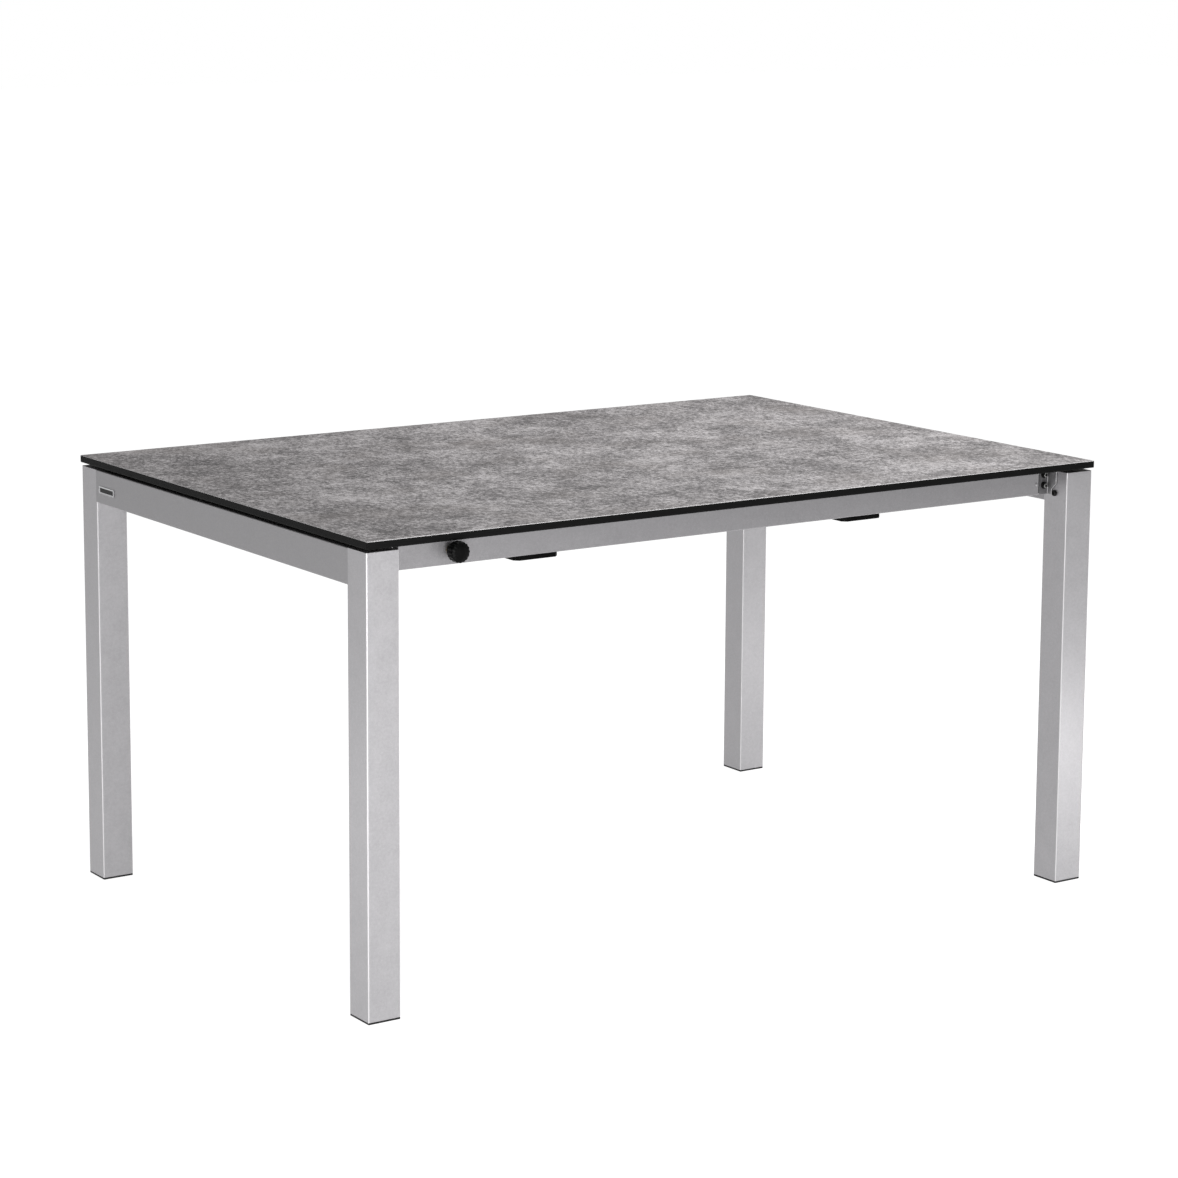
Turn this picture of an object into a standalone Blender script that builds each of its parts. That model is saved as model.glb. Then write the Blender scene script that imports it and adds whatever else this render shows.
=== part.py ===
"""Extendable dining table: a fixed slab on a left frame, a right frame that pulls out, and a stored leaf.

Units are metres. +Z is up and +X is the way the right-hand frame pulls out. The origin is on the
floor, under the middle of the tabletop. "near" is the -Y long side and "far" is the +Y long side.
"""

import math

import bmesh
import bpy
from mathutils import Matrix, Vector

# ---- driving dimensions -----------------------------------------------------------------------

TOP_LENGTH = 1.400
TOP_WIDTH = 0.950
TABLE_HEIGHT = 0.720
TOP_THICKNESS = 0.012
EXTENSION = 0.600

LEG_SIZE = 0.055
LEG_WALL = 0.003
LEG_EDGE = 0.0015
LEG_SIDE_INSET = 0.0045
LEG_END_INSET = 0.001
TOP_GAP = 0.005

FOOT_HEIGHT = 0.003
FOOT_PLUG_DEPTH = 0.018
FOOT_PLUG_CLEARANCE = 0.0004

END_RAIL_HEIGHT = 0.055
END_RAIL_DEPTH = 0.046
END_RAIL_WALL = 0.003

SIDE_RAIL_HEIGHT = 0.0362
SIDE_RAIL_DEPTH = 0.0375
SIDE_RAIL_WALL = 0.0025
SIDE_RAIL_RECESS = 0.003
SIDE_RAIL_END_GAP = 0.0605
SLOT_HEIGHT = 0.013
SLOT_ABOVE_MIDDLE = 0.0039

RAIL_SPACING = 0.0063
INNER_RAIL_DEPTH = 0.025
INNER_RAIL_WALL = 0.002
INNER_RAIL_TAIL = 0.090
INNER_RAIL_TOP_CLEARANCE = 0.0045
INNER_RAIL_BOTTOM_CLEARANCE = 0.0005
PLUG_DEPTH = 0.012
PLUG_FLANGE = 0.002

SCREW_LINE = 0.0105
SCREW_RUNNING_GAP = 0.0015

GLIDE_LENGTH = 0.055
GLIDE_TAIL_OFFSET = 0.070
GLIDE_CLEARANCE = 0.0004
GUIDE_LENGTH = 0.026
GUIDE_FLANGE = 0.0015
STOP_CLEARANCE = 0.001

CARRIER_WIDTH = 0.078
CARRIER_THICKNESS = 0.0067
CARRIER_INSET = {"left": 0.1695, "right": 0.163}
CARRIER_CORNER = 0.007
FENCE_HEIGHT = 0.009
FENCE_WIDTH = 0.004
PIN_CLEARANCE = 0.002
LEAF_START = 0.080
LEAF_JOINT_GAP = 0.001
LEAF_PIN_RADIUS = 0.004
LEAF_PIN_LENGTH = 0.028
LEAF_PIN_STANDOUT = 0.010
LEAF_PIN_INSET = 0.200

BRACKET_THICKNESS = 0.003
BRACKET_ALONG_RAIL = 0.0232
BRACKET_ALONG_LEG = 0.0205
BRACKET_BELOW_RAIL = 0.0095
BRACKET_CHAMFER = 0.0108
BRACKET_FOOT_HEIGHT = 0.0088
BRACKET_SCREW_FROM_LEG = 0.0120
BRACKET_SCREW_ABOVE_RAIL_FOOT = 0.0056
BRACKET_SCREW_BELOW_RAIL_TOP = 0.0076
WASHER_RADIUS = 0.006
WASHER_THICKNESS = 0.0015
CAP_HEAD_RADIUS = 0.005
CAP_HEAD_HEIGHT = 0.004
CAP_SHANK_RADIUS = 0.003
CAP_SHANK_LENGTH = 0.012
HEX_SOCKET_RADIUS = 0.0028
HEX_SOCKET_DEPTH = 0.0022

LEG_BOLT_RADIUS = 0.005
LEG_BOLT_HEIGHT = 0.004
LEG_BOLT_FROM_BRACKET_TIP = 0.0050
LEG_BOLT_ABOVE_BRACKET_FOOT = 0.0030

TOP_SCREW_RADIUS = 0.0022
TOP_SCREW_HEAD_RADIUS = 0.0045
TOP_SCREW_HEAD_HEIGHT = 0.0025
TOP_SCREW_BITE = 0.007
TOP_SCREW_FROM_LEFT = 0.230
TOP_SCREW_SPACING = 0.820

CARRIER_SCREW_RADIUS = 0.0022
CARRIER_SCREW_HEAD_RADIUS = 0.0045
CARRIER_SCREW_HEAD_HEIGHT = 0.0022
CARRIER_SCREW_LENGTH = 0.0125

KNOB_FROM_LEFT = 0.145
KNOB_RADIUS = 0.016
KNOB_LOBES = 16
KNOB_LOBE_DEPTH = 0.0011
KNOB_HEAD_LENGTH = 0.016
KNOB_HUB_RADIUS = 0.0105
KNOB_HUB_LENGTH = 0.0095
KNOB_STANDOFF = 0.0035
KNOB_BORE_DEPTH = 0.018
KNOB_DOME = 0.0022
STUD_RADIUS = 0.004
STUD_CLEARANCE = 0.0003
INSERT_FLANGE_RADIUS = 0.0075
INSERT_FLANGE = 0.0012
INSERT_BARREL_RADIUS = 0.0058
INSERT_BARREL_DEPTH = 0.0060
PAD_RADIUS = 0.006
PAD_THICKNESS = 0.0035
PAD_POCKET = 0.0020

REST_PAD_THICKNESS = 0.0044
REST_PAD_LENGTH = 0.060
REST_PAD_WIDTH = 0.020
REST_PAD_FROM_LEG = 0.120

PLATE_LENGTH = 0.0562
PLATE_HEIGHT = 0.0125
PLATE_THICKNESS = 0.0006
PLATE_FROM_LEG = 0.0100
PLATE_ABOVE_BOTTOM = 0.0170

TOUCH = 0.0003
ROUND_SEGMENTS = 20

# ---- places worked out from the driving dimensions ----------------------------------------------

NEAR = -1
FAR = 1
SIDES = {"near": NEAR, "far": FAR}

X_LEFT = -TOP_LENGTH / 2
X_RIGHT = TOP_LENGTH / 2
HALF_WIDTH = TOP_WIDTH / 2

TOP_UNDERSIDE = TABLE_HEIGHT - TOP_THICKNESS
FRAME_TOP = TOP_UNDERSIDE - TOP_GAP

LEG_OUT = LEG_SIDE_INSET
LEG_IN = LEG_OUT + LEG_SIZE
LEFT_LEG_LOW = X_LEFT + LEG_END_INSET
LEFT_LEG_HIGH = LEFT_LEG_LOW + LEG_SIZE
RIGHT_LEG_HIGH = X_RIGHT - LEG_END_INSET
RIGHT_LEG_LOW = RIGHT_LEG_HIGH - LEG_SIZE
LEG_FOOT = FOOT_HEIGHT + TOUCH

END_RAIL_BOTTOM = FRAME_TOP - END_RAIL_HEIGHT
LEFT_RAIL_INNER = LEFT_LEG_LOW + END_RAIL_DEPTH

SIDE_RAIL_TOP = TOP_UNDERSIDE - TOUCH
SIDE_RAIL_BOTTOM = SIDE_RAIL_TOP - SIDE_RAIL_HEIGHT
SIDE_RAIL_OUT = LEG_OUT + SIDE_RAIL_RECESS
SIDE_RAIL_IN = SIDE_RAIL_OUT + SIDE_RAIL_DEPTH
SIDE_RAIL_START = LEFT_LEG_HIGH + TOUCH
SIDE_RAIL_END = RIGHT_LEG_LOW - SIDE_RAIL_END_GAP
SLOT_MIDDLE = SIDE_RAIL_BOTTOM + SIDE_RAIL_HEIGHT / 2 + SLOT_ABOVE_MIDDLE

INNER_RAIL_OUT = SIDE_RAIL_IN + RAIL_SPACING
INNER_RAIL_IN = INNER_RAIL_OUT + INNER_RAIL_DEPTH
INNER_RAIL_TOP = TOP_UNDERSIDE - INNER_RAIL_TOP_CLEARANCE
INNER_RAIL_BOTTOM = SIDE_RAIL_BOTTOM + INNER_RAIL_BOTTOM_CLEARANCE
INNER_RAIL_START = X_LEFT + INNER_RAIL_TAIL
INNER_RAIL_END = RIGHT_LEG_LOW - TOUCH

GUIDE_START = SIDE_RAIL_END - GUIDE_LENGTH
REAR_GLIDE_START = INNER_RAIL_START + GLIDE_TAIL_OFFSET
FRONT_GLIDE_START = GUIDE_START - STOP_CLEARANCE - EXTENSION - GLIDE_LENGTH

CARRIER_TOP = SIDE_RAIL_BOTTOM - TOUCH
CARRIER_BOTTOM = CARRIER_TOP - CARRIER_THICKNESS
LEAF_LENGTH = TOP_WIDTH
LEAF_WIDTH = EXTENSION - 2 * LEAF_JOINT_GAP
LEAF_LOW = LEFT_RAIL_INNER + LEAF_START
LEAF_HIGH = LEAF_LOW + LEAF_LENGTH
LEAF_BOTTOM = CARRIER_TOP + TOUCH
LEAF_FENCE = LEAF_WIDTH / 2 + LEAF_PIN_STANDOUT + PIN_CLEARANCE
CARRIER_CENTRES = {
    "left": LEAF_LOW + CARRIER_INSET["left"],
    "right": LEAF_HIGH - CARRIER_INSET["right"],
}

KNOB_X = X_LEFT + KNOB_FROM_LEFT
BRACKET_SCREW_X = RIGHT_LEG_LOW - BRACKET_SCREW_FROM_LEG
BRACKET_BACK = INNER_RAIL_OUT - TOUCH
BRACKET_FACE = BRACKET_BACK - BRACKET_THICKNESS
BRACKET_TIP = BRACKET_FACE - BRACKET_ALONG_LEG
BRACKET_LOW = INNER_RAIL_BOTTOM - BRACKET_BELOW_RAIL


def across(side, from_edge):
    """The Y of a place that far in from the long edge of the tabletop on that side."""
    return side * (HALF_WIDTH - from_edge)


# ---- materials ----------------------------------------------------------------------------------


def make_material(name, color, roughness, metallic):
    material = bpy.data.materials.new(name)
    material.use_nodes = True
    shader = material.node_tree.nodes["Principled BSDF"]
    shader.inputs["Base Color"].default_value = (*color, 1.0)
    shader.inputs["Roughness"].default_value = roughness
    shader.inputs["Metallic"].default_value = metallic
    material.diffuse_color = (*color, 1.0)
    return material


# ---- shape helpers ------------------------------------------------------------------------------


def finish_mesh(name, mesh_data, material, location):
    """Turns a bmesh into a named object of one material, with its faces pointing out."""
    bmesh.ops.recalc_face_normals(mesh_data, faces=mesh_data.faces)
    mesh = bpy.data.meshes.new(name)
    mesh_data.to_mesh(mesh)
    mesh_data.free()
    piece = bpy.data.objects.new(name, mesh)
    bpy.context.scene.collection.objects.link(piece)
    piece.location = location
    if material is not None:
        mesh.materials.append(material)
    return piece


def round_edges(piece, width, segments=2):
    bevel = piece.modifiers.new("rounded edges", "BEVEL")
    bevel.width = width
    bevel.segments = segments
    bevel.limit_method = "ANGLE"
    bevel.angle_limit = math.radians(50)


def block(name, low, high, material, edge=0.0, segments=1):
    """A box between two corners, with its origin in its middle."""
    low = Vector(low)
    high = Vector(high)
    mesh_data = bmesh.new()
    bmesh.ops.create_cube(mesh_data, size=1.0)
    bmesh.ops.scale(mesh_data, vec=high - low, verts=mesh_data.verts)
    piece = finish_mesh(name, mesh_data, material, (low + high) / 2)
    if edge:
        round_edges(piece, edge, segments)
    return piece


def side_block(name, side, x_range, from_edge, z_range, material, edge=0.0, segments=1):
    """A box whose Y range is given as distances in from the long edge of the tabletop."""
    y_range = sorted(across(side, distance) for distance in from_edge)
    low = (x_range[0], y_range[0], z_range[0])
    high = (x_range[1], y_range[1], z_range[1])
    return block(name, low, high, material, edge, segments)


def prism(name, outline, depth, frame, material):
    """An outline in a frame's first two axes, carried along its third axis by depth."""
    mesh_data = bmesh.new()
    ring = [mesh_data.verts.new((a, b, 0.0)) for a, b in outline]
    face = mesh_data.faces.new(ring)
    pushed = bmesh.ops.extrude_face_region(mesh_data, geom=[face])
    moved = [item for item in pushed["geom"] if isinstance(item, bmesh.types.BMVert)]
    bmesh.ops.translate(mesh_data, vec=(0.0, 0.0, depth), verts=moved)
    bmesh.ops.transform(mesh_data, matrix=frame.to_3x3().to_4x4(), verts=mesh_data.verts)
    return finish_mesh(name, mesh_data, material, frame.translation)


def along_x(origin):
    """The frame for an outline drawn in Y and Z and carried along +X."""
    axes = Matrix(((0, 0, 1), (1, 0, 0), (0, 1, 0))).to_4x4()
    axes.translation = Vector(origin)
    return axes


def along_z(origin):
    """The frame for an outline drawn in X and Y and carried along +Z."""
    axes = Matrix.Identity(4)
    axes.translation = Vector(origin)
    return axes


def turned(name, profile, centre, direction, material, segments=ROUND_SEGMENTS):
    """A solid of revolution: (distance along the axis, radius) points, closed onto the axis."""
    mesh_data = bmesh.new()
    rings = []
    for height, radius in profile:
        if radius == 0.0:
            rings.append([mesh_data.verts.new((0.0, 0.0, height))])
            continue
        angles = [2 * math.pi * k / segments for k in range(segments)]
        ring = [(radius * math.cos(t), radius * math.sin(t), height) for t in angles]
        rings.append([mesh_data.verts.new(point) for point in ring])
    for first, second in zip(rings, rings[1:]):
        join_rings(mesh_data, first, second, segments)
    for end in (rings[0], rings[-1]):
        if len(end) > 1:
            mesh_data.faces.new(end)
    turn = Vector((0, 0, 1)).rotation_difference(Vector(direction)).to_matrix().to_4x4()
    bmesh.ops.transform(mesh_data, matrix=turn, verts=mesh_data.verts)
    piece = finish_mesh(name, mesh_data, material, centre)
    piece.data.shade_smooth()
    piece.data.set_sharp_from_angle(angle=math.radians(35))
    return piece


def join_rings(mesh_data, first, second, segments):
    """Faces between two rings of a turned solid, either of which may be one point."""
    for k in range(segments):
        following = (k + 1) % segments
        if len(first) == 1 and len(second) == 1:
            return
        if len(first) == 1:
            mesh_data.faces.new((first[0], second[k], second[following]))
        elif len(second) == 1:
            mesh_data.faces.new((first[k], first[following], second[0]))
        else:
            mesh_data.faces.new((first[k], first[following], second[following], second[k]))


def cylinder(name, start, direction, length, radius, material=None, segments=ROUND_SEGMENTS):
    return turned(name, [(0.0, radius), (length, radius)], start, direction, material, segments)


def cut(piece, cutter):
    """Takes the cutter's shape out of a piece, and leaves the cutter as a hidden guide."""
    cutter.hide_render = True
    cutter.display_type = "WIRE"
    boolean = piece.modifiers.new("cut " + cutter.name, "BOOLEAN")
    boolean.operation = "DIFFERENCE"
    boolean.object = cutter


# ---- tabletop and leaf --------------------------------------------------------------------------


def build_tabletop(material):
    slab = block(
        "tabletop",
        (X_LEFT, -HALF_WIDTH, TOP_UNDERSIDE),
        (X_RIGHT, HALF_WIDTH, TABLE_HEIGHT),
        material,
    )
    for name, place in top_screw_places().items():
        depth = TOP_SCREW_BITE + TOUCH
        start = Vector((place[0], place[1], TOP_UNDERSIDE - TOUCH))
        radius = TOP_SCREW_RADIUS + TOUCH
        hole = cylinder("hole for " + name, start, (0, 0, 1), depth + TOUCH, radius, segments=12)
        cut(slab, hole)
    for name, side in SIDES.items():
        start = (X_RIGHT + TOUCH, leaf_pin_y(side), TABLE_HEIGHT - TOP_THICKNESS / 2)
        depth = LEAF_PIN_STANDOUT + 3 * TOUCH
        radius = LEAF_PIN_RADIUS + TOUCH
        cut(slab, cylinder("pin hole " + name, start, (-1, 0, 0), depth, radius, segments=12))
    return slab


def leaf_pin_y(side):
    """Where a locating pin sits along the leaf once it is laid across the table."""
    return side * (LEAF_LENGTH / 2 - LEAF_PIN_INSET)


def build_leaf(leaf_material, pin_material):
    """The leaf is stored turned a quarter, so its length lies along the table."""
    leaf = block(
        "extension_leaf",
        (LEAF_LOW, -LEAF_WIDTH / 2, LEAF_BOTTOM),
        (LEAF_HIGH, LEAF_WIDTH / 2, LEAF_BOTTOM + TOP_THICKNESS),
        leaf_material,
    )
    middle = (LEAF_LOW + LEAF_HIGH) / 2
    for name, side in SIDES.items():
        x = middle - leaf_pin_y(side)
        height = LEAF_BOTTOM + TOP_THICKNESS / 2
        buried = LEAF_PIN_LENGTH - LEAF_PIN_STANDOUT
        start = (x, LEAF_WIDTH / 2 - buried, height)
        pin_end = [
            (0.0, LEAF_PIN_RADIUS),
            (LEAF_PIN_LENGTH - 0.0015, LEAF_PIN_RADIUS),
            (LEAF_PIN_LENGTH, LEAF_PIN_RADIUS - 0.0015),
        ]
        turned("leaf_pin_" + name, pin_end, start, (0, 1, 0), pin_material, 12)
        bore_start = (x, LEAF_WIDTH / 2 - buried - TOUCH, height)
        radius = LEAF_PIN_RADIUS + TOUCH
        bore = cylinder("bore " + name, bore_start, (0, 1, 0), buried + 0.002, radius, segments=12)
        cut(leaf, bore)


# ---- legs, feet and end rails -------------------------------------------------------------------


def build_leg_set(end, x_low, aluminium, plastic):
    """The two legs of one end with their feet, and the end rail between them."""
    x_high = x_low + LEG_SIZE
    for name, side in SIDES.items():
        leg = side_block(
            f"leg_{end}_{name}",
            side,
            (x_low, x_high),
            (LEG_OUT, LEG_IN),
            (LEG_FOOT, FRAME_TOP),
            aluminium,
            LEG_EDGE,
            2,
        )
        hollow = side_block(
            f"hollow {end} {name}",
            side,
            (x_low + LEG_WALL, x_high - LEG_WALL),
            (LEG_OUT + LEG_WALL, LEG_IN - LEG_WALL),
            (LEG_FOOT - LEG_WALL, FRAME_TOP - LEG_WALL),
            None,
        )
        cut(leg, hollow)
        build_foot(f"foot_{end}_{name}", side, x_low, plastic)
    outer_face, inner_face = end_rail_faces(end)
    reach = HALF_WIDTH - LEG_IN - TOUCH
    x_range = sorted((outer_face, inner_face))
    rail = block(
        f"end_rail_{end}",
        (x_range[0], -reach, END_RAIL_BOTTOM),
        (x_range[1], reach, FRAME_TOP),
        aluminium,
        LEG_EDGE,
    )
    inside = block(
        f"hollow end rail {end}",
        (x_range[0] + END_RAIL_WALL, -HALF_WIDTH, END_RAIL_BOTTOM + END_RAIL_WALL),
        (x_range[1] - END_RAIL_WALL, HALF_WIDTH, FRAME_TOP - END_RAIL_WALL),
        None,
    )
    cut(rail, inside)


def end_rail_faces(end):
    """(outer face, inner face) of an end rail, whose outer face is flush with the legs."""
    if end == "left":
        return LEFT_LEG_LOW, LEFT_RAIL_INNER
    return RIGHT_LEG_HIGH, RIGHT_LEG_HIGH - END_RAIL_DEPTH


def build_foot(name, side, x_low, plastic):
    """A plastic foot: a sole as wide as the leg, and a plug that fits up inside it."""
    plug_inset = LEG_WALL + FOOT_PLUG_CLEARANCE
    half = LEG_SIZE / 2
    plug = half - plug_inset
    edge = FOOT_HEIGHT / 3
    levels = [
        (0.0, half - edge),
        (edge, half),
        (FOOT_HEIGHT, half),
        (FOOT_HEIGHT, plug),
        (FOOT_HEIGHT + FOOT_PLUG_DEPTH, plug),
    ]
    mesh_data = bmesh.new()
    rings = []
    for height, reach in levels:
        corners = [(-reach, -reach), (reach, -reach), (reach, reach), (-reach, reach)]
        rings.append([mesh_data.verts.new((x, y, height)) for x, y in corners])
    for first, second in zip(rings, rings[1:]):
        join_rings(mesh_data, first, second, len(first))
    mesh_data.faces.new(rings[0])
    mesh_data.faces.new(rings[-1])
    centre = (x_low + half, across(side, LEG_OUT + half), 0.0)
    finish_mesh(name, mesh_data, plastic, centre)


def build_plate(material):
    """A blank name plate on the outer face of the left end rail, beside the far leg."""
    face = LEFT_LEG_LOW - TOUCH
    y_high = HALF_WIDTH - LEG_IN - PLATE_FROM_LEG
    z_low = END_RAIL_BOTTOM + PLATE_ABOVE_BOTTOM
    block(
        "blank_plate",
        (face - PLATE_THICKNESS, y_high - PLATE_LENGTH, z_low),
        (face, y_high, z_low + PLATE_HEIGHT),
        material,
    )


# ---- side rails and what is fixed to them -------------------------------------------------------


def build_side_rail(name, side, material):
    """An extruded channel under the long edge, whose slot faces the middle of the table."""
    height = SIDE_RAIL_HEIGHT
    depth = SIDE_RAIL_DEPTH
    wall = SIDE_RAIL_WALL
    slot_low = SLOT_MIDDLE - SIDE_RAIL_BOTTOM - SLOT_HEIGHT / 2
    slot_high = slot_low + SLOT_HEIGHT
    outline = [
        (0.0, 0.0),
        (depth, 0.0),
        (depth, slot_low),
        (depth - wall, slot_low),
        (depth - wall, wall),
        (wall, wall),
        (wall, height - wall),
        (depth - wall, height - wall),
        (depth - wall, slot_high),
        (depth, slot_high),
        (depth, height),
        (0.0, height),
    ]
    placed = [(-side * y, z) for y, z in outline]
    origin = (SIDE_RAIL_START, across(side, SIDE_RAIL_OUT), SIDE_RAIL_BOTTOM)
    length = SIDE_RAIL_END - SIDE_RAIL_START
    rail = prism("side_rail_" + name, placed, length, along_x(origin), material)
    for screw_name, place in top_screw_places().items():
        if screw_name.endswith(name):
            start = (place[0], place[1], SIDE_RAIL_TOP - 2 * wall)
            radius = TOP_SCREW_RADIUS + TOUCH
            hole = cylinder("rail hole " + screw_name, start, (0, 0, 1), 3 * wall, radius, segments=12)
            cut(rail, hole)
    for screw_name, place in carrier_screw_places().items():
        if screw_name.endswith(name):
            start = (place[0], place[1], SIDE_RAIL_BOTTOM - wall)
            radius = CARRIER_SCREW_RADIUS + TOUCH
            hole = cylinder("rail hole " + screw_name, start, (0, 0, 1), 3 * wall, radius, segments=12)
            cut(rail, hole)
    start = (KNOB_X, across(side, SIDE_RAIL_OUT - wall), SLOT_MIDDLE)
    radius = INSERT_BARREL_RADIUS + TOUCH
    cut(rail, cylinder("insert hole " + name, start, (0, -side, 0), 3 * wall, radius))


def build_rail_guide(name, side, plastic):
    """A plastic plug in the open end of a side rail: the far end of the glides' travel."""
    low = SIDE_RAIL_BOTTOM + SIDE_RAIL_WALL + GLIDE_CLEARANCE
    high = SIDE_RAIL_TOP - SIDE_RAIL_WALL - GLIDE_CLEARANCE
    out = SIDE_RAIL_OUT + SIDE_RAIL_WALL + GLIDE_CLEARANCE
    inward = SIDE_RAIL_IN - SIDE_RAIL_WALL - GLIDE_CLEARANCE
    flange = GUIDE_FLANGE
    cap_start = SIDE_RAIL_END + TOUCH
    outline = [
        (GUIDE_START, out),
        (cap_start, out),
        (cap_start, SIDE_RAIL_OUT),
        (cap_start + flange, SIDE_RAIL_OUT),
        (cap_start + flange, SIDE_RAIL_IN),
        (cap_start, SIDE_RAIL_IN),
        (cap_start, inward),
        (GUIDE_START, inward),
    ]
    placed = [(x, across(side, distance)) for x, distance in outline]
    prism("rail_guide_" + name, placed, high - low, along_z((0.0, 0.0, low)), plastic)


def top_screw_places():
    """The screws that hold the slab down, through the top wall of each side rail."""
    places = {}
    for name, side in SIDES.items():
        for end, extra in (("left", 0.0), ("right", TOP_SCREW_SPACING)):
            y = across(side, SIDE_RAIL_OUT + SCREW_LINE)
            places[f"top_screw_{end}_{name}"] = (X_LEFT + TOP_SCREW_FROM_LEFT + extra, y)
    return places


def build_top_screws(material):
    for name, (x, y) in top_screw_places().items():
        seat = SIDE_RAIL_TOP - SIDE_RAIL_WALL - TOUCH
        head = TOP_SCREW_HEAD_HEIGHT
        profile = [
            (-head, TOP_SCREW_HEAD_RADIUS * 0.7),
            (-head / 2, TOP_SCREW_HEAD_RADIUS),
            (0.0, TOP_SCREW_HEAD_RADIUS),
            (0.0, TOP_SCREW_RADIUS),
            (TOP_UNDERSIDE - seat + TOP_SCREW_BITE - TOUCH, TOP_SCREW_RADIUS),
        ]
        turned(name, profile, (x, y, seat), (0, 0, 1), material, 12)


# ---- carriers for the stored leaf ---------------------------------------------------------------


def build_carrier(name, x_middle, material):
    """A bar across the table, hung under both side rails, with a fence each side of the leaf."""
    reach = HALF_WIDTH - SIDE_RAIL_OUT
    half = CARRIER_WIDTH / 2
    corner = CARRIER_CORNER
    outline = [
        (-half, -reach + corner),
        (-half + corner, -reach),
        (half - corner, -reach),
        (half, -reach + corner),
        (half, reach - corner),
        (half - corner, reach),
        (-half + corner, reach),
        (-half, reach - corner),
    ]
    frame = along_z((x_middle, 0.0, CARRIER_BOTTOM))
    bar = prism("leaf_carrier_" + name, outline, CARRIER_THICKNESS, frame, material)
    for side_name, side in SIDES.items():
        y_range = sorted((side * LEAF_FENCE, side * (LEAF_FENCE + FENCE_WIDTH)))
        fence = block(
            f"fence {name} {side_name}",
            (x_middle - half + corner, y_range[0], CARRIER_TOP - CARRIER_THICKNESS / 2),
            (x_middle + half - corner, y_range[1], CARRIER_TOP + FENCE_HEIGHT),
            None,
        )
        fence.hide_render = True
        fence.display_type = "WIRE"
        union = bar.modifiers.new("fence " + side_name, "BOOLEAN")
        union.operation = "UNION"
        union.object = fence
    for screw_name, place in carrier_screw_places().items():
        if screw_name.startswith("carrier_screw_" + name):
            profile = carrier_screw_profile(TOUCH)
            cutter = turned("sink " + screw_name, profile, (*place, CARRIER_BOTTOM), (0, 0, 1), None, 12)
            cut(bar, cutter)


def carrier_screw_places():
    places = {}
    for name, x in CARRIER_CENTRES.items():
        for side_name, side in SIDES.items():
            y = across(side, SIDE_RAIL_OUT + SCREW_LINE)
            places[f"carrier_screw_{name}_{side_name}"] = (x, y)
    return places


def carrier_screw_profile(clearance):
    """A countersunk screw from below; with a clearance it is the hole that takes it."""
    head = CARRIER_SCREW_HEAD_HEIGHT
    start = -0.001 if clearance else TOUCH
    return [
        (start, CARRIER_SCREW_HEAD_RADIUS + clearance),
        (TOUCH, CARRIER_SCREW_HEAD_RADIUS + clearance),
        (TOUCH + head, CARRIER_SCREW_RADIUS + clearance),
        (CARRIER_SCREW_LENGTH + clearance, CARRIER_SCREW_RADIUS + clearance),
    ][0 if clearance else 1 :]


def build_carrier_screws(material):
    for name, place in carrier_screw_places().items():
        centre = (*place, CARRIER_BOTTOM)
        turned(name, carrier_screw_profile(0.0), centre, (0, 0, 1), material, 12)


# ---- inner rails, glides and brackets of the pull-out frame --------------------------------------


def build_inner_rail(name, side, aluminium, plastic):
    x_range = (INNER_RAIL_START, INNER_RAIL_END)
    z_range = (INNER_RAIL_BOTTOM, INNER_RAIL_TOP)
    y_range = (INNER_RAIL_OUT, INNER_RAIL_IN)
    rail = side_block("inner_rail_" + name, side, x_range, y_range, z_range, aluminium, 0.0008)
    wall = INNER_RAIL_WALL
    inside = side_block(
        "hollow inner rail " + name,
        side,
        (INNER_RAIL_START - wall, INNER_RAIL_END + wall),
        (INNER_RAIL_OUT + wall, INNER_RAIL_IN - wall),
        (INNER_RAIL_BOTTOM + wall, INNER_RAIL_TOP - wall),
        None,
    )
    cut(rail, inside)
    for level, z in bracket_screw_levels().items():
        start = (BRACKET_SCREW_X, across(side, INNER_RAIL_OUT - wall), z)
        radius = CAP_SHANK_RADIUS + TOUCH
        hole = cylinder(f"rail screw hole {level} {name}", start, (0, -side, 0), 3 * wall, radius)
        cut(rail, hole)
    build_tail_plug(name, side, plastic)
    for place, x in (("rear", REAR_GLIDE_START), ("front", FRONT_GLIDE_START)):
        build_glide(f"glide_{place}_{name}", side, x, plastic)


def build_tail_plug(name, side, plastic):
    """A plug that closes the tail of an inner rail, with a flange as large as the rail."""
    fit = INNER_RAIL_WALL + GLIDE_CLEARANCE
    end = INNER_RAIL_START - TOUCH
    outline = [
        (end - PLUG_FLANGE, INNER_RAIL_OUT),
        (end, INNER_RAIL_OUT),
        (end, INNER_RAIL_OUT + fit),
        (end + PLUG_DEPTH, INNER_RAIL_OUT + fit),
        (end + PLUG_DEPTH, INNER_RAIL_IN - fit),
        (end, INNER_RAIL_IN - fit),
        (end, INNER_RAIL_IN),
        (end - PLUG_FLANGE, INNER_RAIL_IN),
    ]
    placed = [(x, across(side, distance)) for x, distance in outline]
    low = INNER_RAIL_BOTTOM + fit
    high = INNER_RAIL_TOP - fit
    prism("rail_plug_" + name, placed, high - low, along_z((0.0, 0.0, low)), plastic)


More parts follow.
